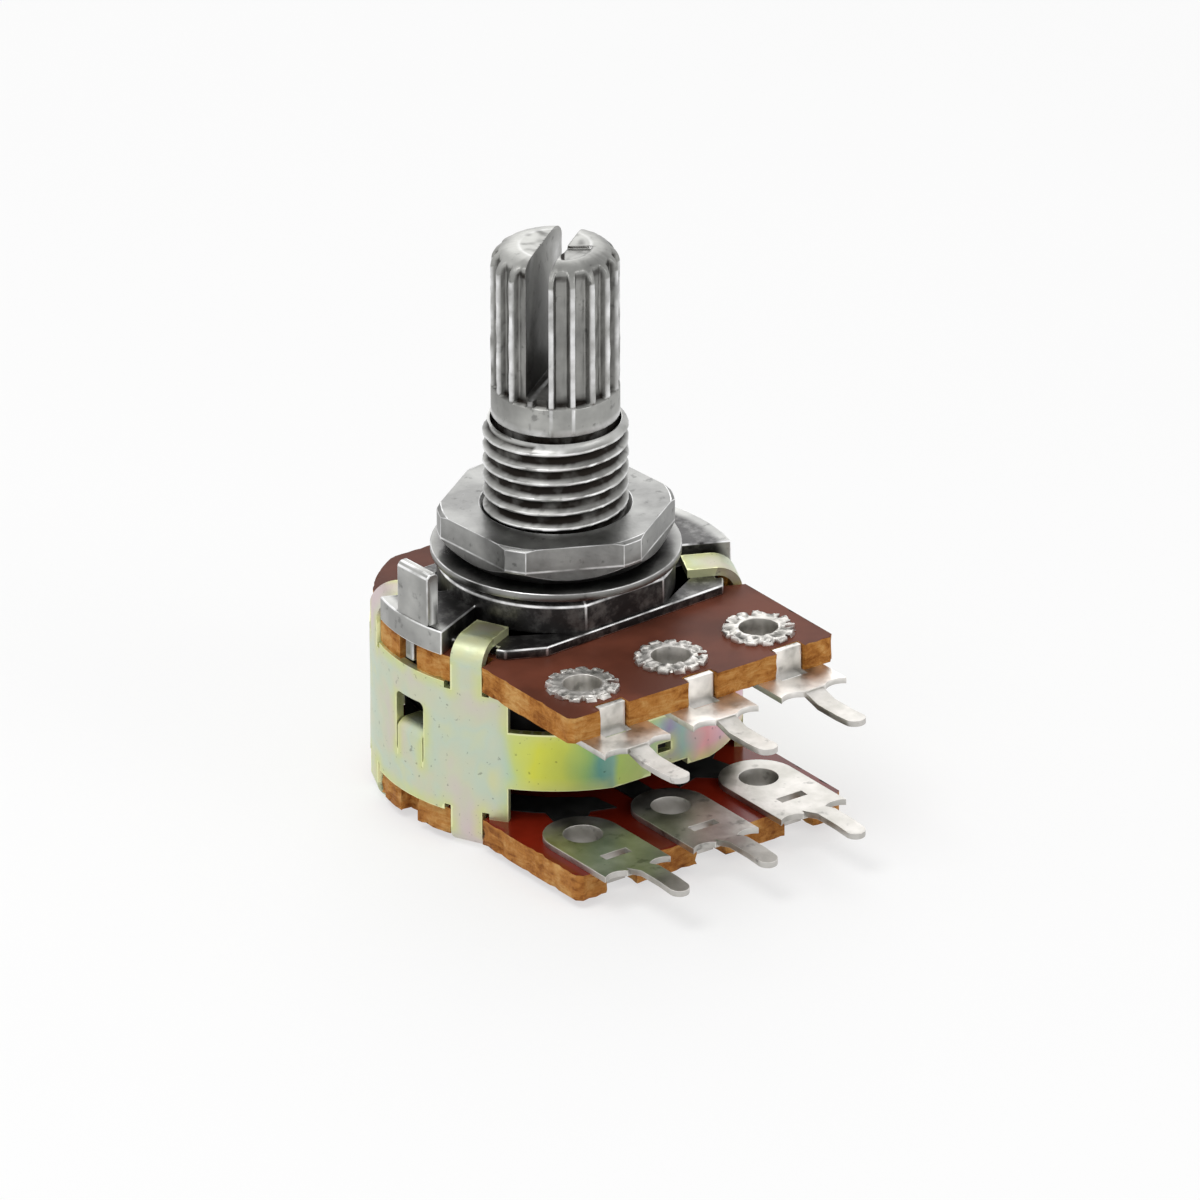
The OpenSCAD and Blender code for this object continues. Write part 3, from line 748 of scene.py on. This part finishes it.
def shaft_shade_and_stain(depth):
    """Painted shade in the undercut, the grooves, the slot and the step of the tip, and mottled stain on
    the tip.
    """
    slot_turn = math.radians(SLOT_ANGLE)

    def rule(x, y, z):
        radius = math.hypot(x, y)
        off_slot = abs(y * math.cos(slot_turn) - x * math.sin(slot_turn))
        # Painted shade deep in the slot, lighter towards its top
        if off_slot < SLOT_W / 2 + 0.005 and z > KNURL_Z:
            return 0.8 - 0.62 * smooth_step(SLOT_FLOOR, SLOT_FLOOR + 2.2, z)
        # Painted shadow in the undercut under the collar
        if z < NECK_TOP + 0.26:
            return 1.0
        # Painted shadow on the step of the tip, mottled stain on the rest of its flat
        if z > TIP_Z - TIP_LEN and radius < TIP_FLAT + 0.02:
            drop = tip_step(Vector((x, y, z)) * MM)
            mottled = max(0.0, noise.noise(Vector((x * 2.2, y * 2.2, 5)))) * 0.7
            return 1.0 if 0.02 < drop < 0.12 else mottled
        # Painted shade on the grooves' flanks and at their foot, a little in their bottoms
        deep = (min(SHAFT_R, tip_radius(z)) - radius) / depth
        foot = (1 - smooth_step(KNURL_Z + 0.1, KNURL_Z + 0.6, z)) * smooth_step(0.3, 0.8, deep)
        side = smooth_step(0.3, 0.6, deep) * (1 - 0.75 * smooth_step(0.75, 0.95, deep)) * 0.8
        return max(side, foot, smooth_step(0.8, 1.0, deep) * 0.22)

    return rule


def shaft_wear_and_highlights(teeth):
    """Painted highlights on the rubbed crests, the collar's flash lines and lower edge, and the rim of the
    tip.
    """

    def rule(x, y, z):
        angle = math.atan2(y, x)
        if z < NECK_TOP + 0.26:
            return 0.0
        if z < KNURL_Z:
            # Painted highlight on the collar's lower edge and its flash lines
            foot = 1 - smooth_step(NECK_TOP + 0.34, NECK_TOP + 0.6, z)
            return max(foot * 0.8, 0.5 if on_flash(angle) else 0.0)
        # Painted highlight on the rim of the tip
        if z > TIP_Z - TIP_LEN:
            return 0.3 if abs(math.hypot(x, y) - TIP_FLAT - 0.04) < 0.08 else 0.0
        # Rubbed crests with a painted highlight
        return 0.8 * (1 - smooth_step(0.0, 0.2, groove_share(angle, teeth)))

    return rule


def slot_cutter():
    """The block that cuts the slot, longer than the shaft is wide and 2 mm higher than its tip."""
    top = TIP_Z + 2
    turn = Matrix.Rotation(math.radians(SLOT_ANGLE), 3, "Z")
    bm = bmesh.new()
    bmesh.ops.create_cube(bm, size=1.0)
    bmesh.ops.scale(bm, vec=(SHAFT_R * 3 * MM, SLOT_W * MM, (top - SLOT_FLOOR) * MM), verts=bm.verts)
    bmesh.ops.translate(bm, vec=(0, 0, (SLOT_FLOOR + top) / 2 * MM), verts=bm.verts)
    bmesh.ops.rotate(bm, cent=(0, 0, 0), matrix=turn, verts=bm.verts)
    return bm


def cut_with(bm, cutter):
    """Cuts one closed mesh out of another with Blender's exact boolean."""
    scene = bpy.context.scene
    meshes = []
    for label, source in (("body", bm), ("cutter", cutter)):
        mesh = bpy.data.meshes.new(label)
        source.to_mesh(mesh)
        source.free()
        obj = bpy.data.objects.new(label, mesh)
        scene.collection.objects.link(obj)
        meshes.append(obj)
    body, tool = meshes
    cut = body.modifiers.new("cut", "BOOLEAN")
    cut.operation = "DIFFERENCE"
    cut.solver = "EXACT"
    cut.object = tool
    evaluated = body.evaluated_get(bpy.context.evaluated_depsgraph_get())
    result = bmesh.new()
    result.from_mesh(evaluated.to_mesh())
    evaluated.to_mesh_clear()
    for obj in meshes:
        mesh = obj.data
        bpy.data.objects.remove(obj)
        bpy.data.meshes.remove(mesh)
    return result


def shaft_bottom():
    """The plain part of the shaft below the knurl, kept as the solid says."""
    bm = sliced(welded("shaft"), NECK_TOP - 0.85, clear_outer=True)
    bmesh.ops.holes_fill(bm, edges=[e for e in bm.edges if e.is_boundary], sides=0)
    return bevelled(bm, 0.06, angle=40)


# Threaded neck


def thread_helix(props):
    """One pitch of the thread's profile spun up the neck, trimmed to its height."""
    pitch = props.thread_pitch / MM
    crest = NECK_R
    root = crest - props.thread_depth / MM
    low, high = FACE_Z - 0.6, NECK_TOP + 0.8
    profile = [
        (root, 0.0),
        (root, 0.2),
        (crest - 0.06, 0.40),
        (crest, 0.45),
        (crest, 0.55),
        (crest - 0.06, 0.60),
        (root, 0.8),
        (root, 1.0),
    ]
    bm = bmesh.new()
    start = [bm.verts.new((r * MM, 0, (low + share * pitch) * MM)) for r, share in profile]
    edges = [bm.edges.new((a, b)) for a, b in zip(start, start[1:])]
    steps = 96
    turns = int((high - low) / pitch) + 1
    bmesh.ops.spin(
        bm,
        geom=start + edges,
        cent=(0, 0, 0),
        axis=(0, 0, 1),
        dvec=(0, 0, pitch * MM / steps),
        angle=math.tau * turns,
        steps=steps * turns,
        use_merge=False,
    )
    bmesh.ops.remove_doubles(bm, verts=bm.verts, dist=2e-6)
    sliced(bm, FACE_Z + 0.02, clear_inner=True)
    sliced(bm, NECK_TOP, clear_outer=True)
    for v in bm.verts:
        z = v.co.z / MM
        limit = crest - max(0.0, z - (NECK_TOP - 0.3)) * 0.7
        radius = math.hypot(v.co.x, v.co.y) / MM
        ragged = cast_unevenness(math.atan2(v.co.y, v.co.x), z * 3, 0.05) * smooth_step(root, crest, radius)
        v.co = at_radius(v.co, (min(radius, limit) - abs(ragged)) * MM, v.co.z)
    lead = NECK_TOP - 0.25

    # Painted shade in the thread's roots below the lead
    def dirt_and_shade(x, y, z):
        return 0.0 if z > lead else 1 - smooth_step(root + 0.03, crest - 0.1, math.hypot(x, y))

    # Rubbed crests with a painted highlight, and a painted highlight on the cut lead
    def crest_wear_and_highlight(x, y, z):
        rubbed = smooth_step(crest - 0.08, crest - 0.03, math.hypot(x, y))
        return 0.8 * max(rubbed, 0.4 if z > lead else 0.0)

    paint(bm, "grime_and_shade", dirt_and_shade)
    return paint(bm, "wear_and_highlight", crest_wear_and_highlight)


def thread_and_bore(props):
    """The threaded tube that stands on the boss: helix outside, plain bore inside, closed at both ends."""
    bm = thread_helix(props)
    low_z, high_z = FACE_Z + 0.02, NECK_TOP
    loops = {low_z: [], high_z: []}
    for e in bm.edges:
        for z, loop in loops.items():
            if e.is_boundary and all(abs(v.co.z - z * MM) < 1e-7 for v in e.verts):
                loop.append(e)
    circle = bmesh.ops.create_circle(bm, segments=96, radius=BORE_R * MM, cap_ends=False)["verts"]
    bmesh.ops.translate(bm, vec=(0, 0, low_z * MM), verts=circle)
    low_ring = edges_between(bm, circle)
    high_ring = next_ring(bm, low_ring, lambda co: Vector((co.x, co.y, high_z * MM)))
    bmesh.ops.triangle_fill(bm, edges=loops[low_z] + low_ring, use_beauty=True)
    bmesh.ops.triangle_fill(bm, edges=loops[high_z] + high_ring, use_beauty=True)
    bmesh.ops.recalc_face_normals(bm, faces=bm.faces)
    return bm


def plate_without_neck():
    """The cast plate with its neck cut off at the face that the washer lies on."""
    bm = welded("front_plate")
    rim = (NECK_R + 0.05) * MM
    neck = [f for f in bm.faces if all(Vector(v.co[:2]).length < rim for v in f.verts)]
    verts = list({v for f in neck for v in f.verts})
    edges = list({e for f in neck for e in f.edges})
    geom = verts + edges + neck
    cut = (0, 0, (FACE_Z + 0.01) * MM)
    bmesh.ops.bisect_plane(bm, geom=geom, plane_co=cut, plane_no=(0, 0, 1), clear_outer=True)
    return bm


def chipped_nut(edge):
    """The nut with a line of chips round its sides and a darker, duller band below them."""
    bm = bevelled(welded("hex_nut"), edge, angle=20)
    chips = NUT_TOP - 1.14
    for z in (chips - 0.07, chips, chips + 0.07):
        sliced(bm, z)
    paint(bm, "wear_and_highlight", lambda x, y, z: 1.0 if abs(z - chips) < 0.01 else 0.0)
    # The band below the chips is painted darker
    return paint(bm, "grime_and_shade", lambda x, y, z: 0.3 if z < chips - 0.05 and math.hypot(x, y) > 4 else 0.0)


# Boards and terminals


def diced(bm, step, z_step):
    """Cuts every face along a grid of planes, so that its points can be moved and painted."""
    for axis, size in ((0, step), (1, step), (2, z_step)):
        values = [v.co[axis] / MM for v in bm.verts]
        way = Vector((axis == 0, axis == 1, axis == 2))
        place = min(values) + size * 0.5
        while place < max(values):
            everything = bm.verts[:] + bm.edges[:] + bm.faces[:]
            bmesh.ops.bisect_plane(bm, geom=everything, dist=1e-7, plane_co=way * place * MM, plane_no=way)
            place += size
    return bm


def ragged_board(node, step, depth):
    """The board with its outline pulled in unevenly, as punched paper tears."""
    bm = bmesh.new()
    bm.from_mesh(NODES[node].data)
    bmesh.ops.remove_doubles(bm, verts=bm.verts, dist=2e-6)
    diced(bm, step, step)
    bm.normal_update()
    moves = {}
    for v in bm.verts:
        sides = [f.normal for f in v.link_faces if abs(f.normal.z) < 0.3]
        if sides:
            wave = noise.noise(v.co / MM * 2.2) + 0.6 * noise.noise(v.co / MM * 5.5)
            moves[v] = sum(sides, Vector()).normalized() * -max(0.0, wave) * depth * MM
    for v, move in moves.items():
        v.co += Vector((move.x, move.y, 0))
    return bm


def face_width(face):
    return face.calc_area() / max(e.calc_length() for e in face.edges)


def cut_edges(bm, thickness):
    """Places along the sharp edges between faces that are about as wide as the sheet is thick, or wider."""
    places = []
    for e in bm.edges:
        sharp = len(e.link_faces) == 2 and e.calc_face_angle(0) > math.radians(50)
        if sharp and min(face_width(f) for f in e.link_faces) > thickness * 0.6 * MM:
            count = max(1, int(e.calc_length() / (0.04 * MM)))
            places += [e.verts[0].co.lerp(e.verts[1].co, i / count) for i in range(count + 1)]
    return places


def rim_glow(bm, places, reach):
    """Tells how near each point lies to a cut edge, where a painted yellow highlight runs."""
    tree = kdtree.KDTree(len(places))
    for index, place in enumerate(places):
        tree.insert(place, index)
    tree.balance()
    layer = bm.verts.layers.float.new("rim")
    for v in bm.verts:
        v[layer] = 1 - smooth_step(0.03, reach, tree.find(v.co)[2] / MM)
    return layer


def smooth_bracket():
    """The bent sheet, slightly uneven, its flat tabs drawn in to the wall and its cut edges marked."""
    sheet = welded("bracket")
    places = cut_edges(sheet, 0.5)
    for e in sheet.edges:
        e.smooth = e.calc_face_angle(0) < math.radians(40)
    layer = rim_glow(diced(sheet, 0.35, 0.35), places, 0.65)
    sheet.normal_update()
    for v in sheet.verts:
        if math.hypot(v.co.x, v.co.y) > WALL_R * MM:
            v.co = at_radius(v.co, WALL_R * MM, v.co.z)
        v.co += v.normal * noise.noise(v.co / MM * 0.7) * (1 - v[layer]) * 0.02 * MM
    return sheet


def crushed_flange(bm, centre_x, centre_y):
    """Bends the petals of the flared flange unevenly, paints shade into its hollows and highlights onto its
    raised petals and its tab.
    """

    def in_flange(v):
        near = math.hypot(v.co.x / MM - centre_x, v.co.y / MM - centre_y) < FLANGE_R
        return near and v.co.z / MM > BOARD_TOP + 0.05

    petals = [f for f in bm.faces if f.normal.z > 0.5 and all(in_flange(v) for v in f.verts)]
    made = bmesh.ops.triangulate(bm, faces=petals)
    inner = list({e for f in made["faces"] for e in f.edges if e.calc_length() > 0.2 * MM})
    bmesh.ops.subdivide_edges(bm, edges=inner, cuts=3, use_grid_fill=True)
    layer = bm.verts.layers.float.get("grime_and_shade") or bm.verts.layers.float.new("grime_and_shade")
    bright = bm.verts.layers.float.get("wear_and_highlight")
    for v in bm.verts:
        if in_flange(v):
            dx, dy = v.co.x / MM - centre_x, v.co.y / MM - centre_y
            wave = noise.noise(Vector((dx * 2.6, dy * 2.6, centre_x)))
            wave += 0.7 * noise.noise(Vector((dx * 6, dy * 6, centre_x + 9)))
            out = smooth_step(0.9, 1.2, math.hypot(dx, dy))
            v.co.z += wave * 0.12 * MM * out
            pull = 1 - 0.18 * abs(noise.noise(Vector((dx * 2.5, dy * 2.5, centre_x + 4)))) * out
            # Painted highlight on the raised parts of the petals
            v[bright] = max(v[bright], smooth_step(-0.3, 0.2, wave) * 0.6)
            v.co.x = (centre_x + dx * pull) * MM
            v.co.y = (centre_y + dy * pull) * MM
            # Painted shade in the hollows of the petals
            v[layer] = max(0.0, -wave - 0.1) * 1.1 * out
        elif v.co.z / MM > BOARD_TOP - TAB_REACH:
            # Painted highlight over the whole tab
            v[bright] = 0.85
    return bm


# Settings and operators


class PotentiometerSettings(bpy.types.PropertyGroup):
    knurl_teeth: IntProperty(
        name="Knurl teeth",
        description="Teeth round the shaft's end",
        default=18,
        min=6,
        max=40,
        subtype="UNSIGNED",
    )
    knurl_depth: FloatProperty(
        name="Knurl depth",
        description="How deep the grooves of the shaft are",
        default=0.00038,
        unit="LENGTH",
        subtype="DISTANCE",
    )
    thread_pitch: FloatProperty(
        name="Thread pitch",
        description="Rise of the bush's thread in one turn",
        default=0.00075,
        unit="LENGTH",
        subtype="DISTANCE",
    )
    thread_depth: FloatProperty(
        name="Thread depth",
        description="Depth of the bush's thread",
        default=0.00031,
        unit="LENGTH",
        subtype="DISTANCE",
    )
    casting_edge: FloatProperty(
        name="Casting edge",
        description="Rounding of the cast plate's edges",
        default=0.00009,
        unit="LENGTH",
        subtype="DISTANCE",
    )
    nut_edge: FloatProperty(
        name="Nut edge",
        description="Rounding of the nut's edges",
        default=0.00009,
        unit="LENGTH",
        subtype="DISTANCE",
    )
    washer_edge: FloatProperty(
        name="Washer edge",
        description="Rounding of the washer's edges",
        default=0.00006,
        unit="LENGTH",
        subtype="DISTANCE",
    )
    tin_edge: FloatProperty(
        name="Terminal edge",
        description="Rounding of the terminals' edges",
        default=0.00004,
        unit="LENGTH",
        subtype="DISTANCE",
    )
    upper_tear: FloatProperty(
        name="Upper board's tear",
        description="How far the upper board's rim is torn in",
        default=0.00012,
        unit="LENGTH",
        subtype="DISTANCE",
    )
    lower_tear: FloatProperty(
        name="Lower board's tear",
        description="How far the lower board's rim is torn in",
        default=0.0002,
        unit="LENGTH",
        subtype="DISTANCE",
    )
    face_red: FloatVectorProperty(
        name="Lower board colour",
        description="Face colour of the lower board",
        default=(0.19, 0.014, 0.005),
        subtype="COLOR",
    )
    face_brown: FloatVectorProperty(
        name="Upper board colour",
        description="Face colour of the upper board",
        default=(0.14, 0.042, 0.024),
        subtype="COLOR",
    )


def settings():
    return bpy.context.scene.potentiometer


class PieceOperator:
    bl_options = {"REGISTER", "UNDO"}

    def done(self, *objects):
        for obj in objects:
            if not obj.data.polygons:
                raise RuntimeError(f"{obj.name} has no faces")
        return {"FINISHED"}


class POT_OT_shaft(PieceOperator, bpy.types.Operator):
    """Builds the knurled split shaft"""

    bl_idname = "pot.shaft"
    bl_label = "Shaft"

    def execute(self, context):
        props = settings()
        end = cut_with(knurled_end(props), slot_cutter())
        paint(end, "grime_and_shade", shaft_shade_and_stain(props.knurl_depth / MM))
        paint(end, "wear_and_highlight", shaft_wear_and_highlights(props.knurl_teeth))
        lower = shaft_bottom()
        mesh = bpy.data.meshes.new("lower")
        lower.to_mesh(mesh)
        lower.free()
        end.from_mesh(mesh)
        bpy.data.meshes.remove(mesh)
        skin = finish_of("shaft")
        return self.done(piece("knurled_shaft", end, skin, "zinc_shaft", TURNING, "shaft", smooth=35))


class POT_OT_plate(PieceOperator, bpy.types.Operator):
    """Builds the cast front plate and its threaded neck"""

    bl_idname = "pot.plate"
    bl_label = "Front plate"

    def execute(self, context):
        props = settings()
        plate = bevelled(plate_without_neck(), props.casting_edge / MM, angle=14, segments=3, clamp=False)
        cast = piece("cast_plate", plate, finish_of("plate"), "zinc_plate", HOUSING, "front_plate")
        thread = thread_and_bore(props)
        neck = piece("neck_thread", thread, finish_of("shaft"), "zinc_plate", HOUSING, smooth=60)
        return self.done(cast, neck)


class POT_OT_fasteners(PieceOperator, bpy.types.Operator):
    """Builds the hex nut and the flat washer"""

    bl_idname = "pot.fasteners"
    bl_label = "Nut and washer"

    def execute(self, context):
        props = settings()
        sides = chipped_nut(props.nut_edge / MM)
        nut = piece("mounting_nut", sides, finish_of("nut"), "nickel_steel", HOUSING, "hex_nut")
        ring = bevelled(welded("flat_washer"), props.washer_edge / MM)
        washer = piece("mounting_washer", ring, finish_of("washer"), "nickel_steel", HOUSING, "flat_washer")
        return self.done(nut, washer)


class POT_OT_bracket(PieceOperator, bpy.types.Operator):
    """Builds the bent steel bracket"""

    bl_idname = "pot.bracket"
    bl_label = "Bracket"

    def execute(self, context):
        skin = finish_of("chromate")
        sheet = smooth_bracket()
        bracket = piece("bent_bracket", sheet, skin, "chromated_steel", HOUSING, "bracket", smooth=None)
        return self.done(bracket)


class POT_OT_boards(PieceOperator, bpy.types.Operator):
    """Builds the two phenolic boards and their printed carbon"""

    bl_idname = "pot.boards"
    bl_label = "Boards"

    def execute(self, context):
        props = settings()
        made = []
        for level, face, rough, shine, tear in (
            ("upper", props.face_brown, 0.42, 0.06, props.upper_tear),
            ("lower", props.face_red, 0.22, 0.15, props.lower_tear),
        ):
            node = f"{level}_board"
            skin = phenolic(f"Phenolic {level}", tuple(face), rough, shine)
            bm = ragged_board(node, 0.35, tear / MM)
            made.append(piece(f"{level}_laminate", bm, skin, f"phenolic_{level}", HOUSING, node))
            dress(f"{level}_resistive_track", "carbon")
            dress(f"{level}_collector_ring", "carbon")
        return self.done(*made)


class POT_OT_terminals(PieceOperator, bpy.types.Operator):
    """Builds the six eyelet terminals"""

    bl_idname = "pot.terminals"
    bl_label = "Terminals"

    def execute(self, context):
        made = []
        for level in ("upper", "lower"):
            for place in ("left", "centre", "right"):
                node = f"{level}_terminal_{place}"
                name = f"{level}_{place}_eyelet"
                bm = bevelled(welded(node), settings().tin_edge / MM, angle=35)
                if level == "upper":
                    low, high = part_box(node)
                    crushed_flange(bm, (low.x + high.x) / 2 / MM, high.y / MM - EYELET_INSET)
                made.append(piece(name, bm, finish_of("tin"), "tinned_brass", HOUSING, node))
        return self.done(*made)


class POT_OT_inside(PieceOperator, bpy.types.Operator):
    """Finishes the rotors and the wiper springs"""

    bl_idname = "pot.inside"
    bl_label = "Rotors and wipers"

    def execute(self, context):
        for level in ("upper", "lower"):
            dress(f"{level}_rotor", "plastic")
            dress(f"{level}_wiper", "bronze")
        return {"FINISHED"}


def floor_grid():
    bm = bmesh.new()
    bmesh.ops.create_grid(bm, x_segments=1, y_segments=1, size=1.5)
    bmesh.ops.translate(bm, vec=(0, 0, -0.00002), verts=bm.verts)
    mesh = bpy.data.meshes.new("floor")
    bm.to_mesh(mesh)
    bm.free()
    mesh.materials.append(pale_floor())
    floor = bpy.data.objects.new("floor", mesh)
    bpy.context.scene.collection.objects.link(floor)


def pale_world():
    """White behind the part, a plain level for its light, and a dome for reflections that dims overhead."""
    world = bpy.data.worlds.new("Pale studio")
    world.use_nodes = True
    bpy.context.scene.world = world
    t = Tree(world.node_tree)
    back = world.node_tree.nodes["Background"].inputs
    rays = t.node("LightPath").outputs
    height = t.split(t.node("TexCoord").outputs["Generated"])[2]
    dome = t.fade(height, 0.6, 0.85, 1.0, 0.7)
    shiny = t.mix(rays["Is Glossy Ray"], (*grey(WORLD_LEVEL), 1), dome)
    clear = t.math("MAXIMUM", rays["Is Camera Ray"], rays["Is Transmission Ray"])
    t.put(back["Color"], t.mix(clear, shiny, (1, 1, 1, 1)))


def soft_lamp(name, place, size, power):
    lamp = bpy.data.lights.new(name, "AREA")
    lamp.shape = "DISK"
    lamp.size = size
    lamp.energy = power
    obj = bpy.data.objects.new(name, lamp)
    obj.location = place
    obj.rotation_euler = (LAMP_TARGET - Vector(place)).to_track_quat("-Z", "Y").to_euler()
    obj.visible_camera = False
    bpy.context.scene.collection.objects.link(obj)


def photo_camera():
    """The camera that stands where the photograph was taken from."""
    turn, tilt, roll = (math.radians(v) for v in (CAMERA_TURN, CAMERA_TILT, CAMERA_ROLL))
    level = Vector((math.cos(turn), math.sin(turn), 0))
    back = Vector((math.sin(turn) * math.cos(tilt), -math.cos(turn) * math.cos(tilt), math.sin(tilt)))
    upright = back.cross(level)
    right = math.cos(roll) * level + math.sin(roll) * upright
    up = -math.sin(roll) * level + math.cos(roll) * upright
    lens = bpy.data.cameras.new("camera")
    lens.sensor_width = 36
    lens.lens = CAMERA_LENS
    lens.clip_end = 10
    camera = bpy.data.objects.new("camera", lens)
    place = CAMERA_AIM + CAMERA_DISTANCE * back + CAMERA_RIGHT * right - CAMERA_DOWN * up
    rotation = Matrix((right, up, back)).transposed()
    camera.matrix_world = Matrix.Translation(place * MM) @ rotation.to_4x4()
    bpy.context.scene.collection.objects.link(camera)
    bpy.context.scene.camera = camera


class POT_OT_stage(PieceOperator, bpy.types.Operator):
    """Builds the floor, the lamps, the world and the camera"""

    bl_idname = "pot.stage"
    bl_label = "Stage"

    def execute(self, context):
        floor_grid()
        pale_world()
        for lamp in LAMPS:
            soft_lamp(*lamp)
        photo_camera()
        context.scene.view_settings.view_transform = "Standard"
        return {"FINISHED"}


OPERATORS = (
    POT_OT_shaft,
    POT_OT_plate,
    POT_OT_fasteners,
    POT_OT_bracket,
    POT_OT_boards,
    POT_OT_terminals,
    POT_OT_inside,
    POT_OT_stage,
)


class POT_PT_sidebar(bpy.types.Panel):
    bl_label = "Potentiometer"
    bl_idname = "POT_PT_sidebar"
    bl_space_type = "VIEW_3D"
    bl_region_type = "UI"
    bl_category = "Potentiometer"

    def draw(self, context):
        column = self.layout.column()
        for operator in OPERATORS:
            column.operator(operator.bl_idname, text=operator.bl_label)
        for label in PotentiometerSettings.__annotations__:
            column.prop(context.scene.potentiometer, label)


CLASSES = (PotentiometerSettings, *OPERATORS, POT_PT_sidebar)


def register():
    for made in CLASSES:
        bpy.utils.register_class(made)
    bpy.types.Scene.potentiometer = PointerProperty(type=PotentiometerSettings)


def unregister():
    del bpy.types.Scene.potentiometer
    for made in reversed(CLASSES):
        bpy.utils.unregister_class(made)


def main():
    register()
    bpy.ops.pot.shaft()
    bpy.ops.pot.plate()
    bpy.ops.pot.fasteners()
    bpy.ops.pot.bracket()
    bpy.ops.pot.boards()
    bpy.ops.pot.terminals()
    bpy.ops.pot.inside()
    bpy.ops.pot.stage()


if __name__ == "__main__":
    main()
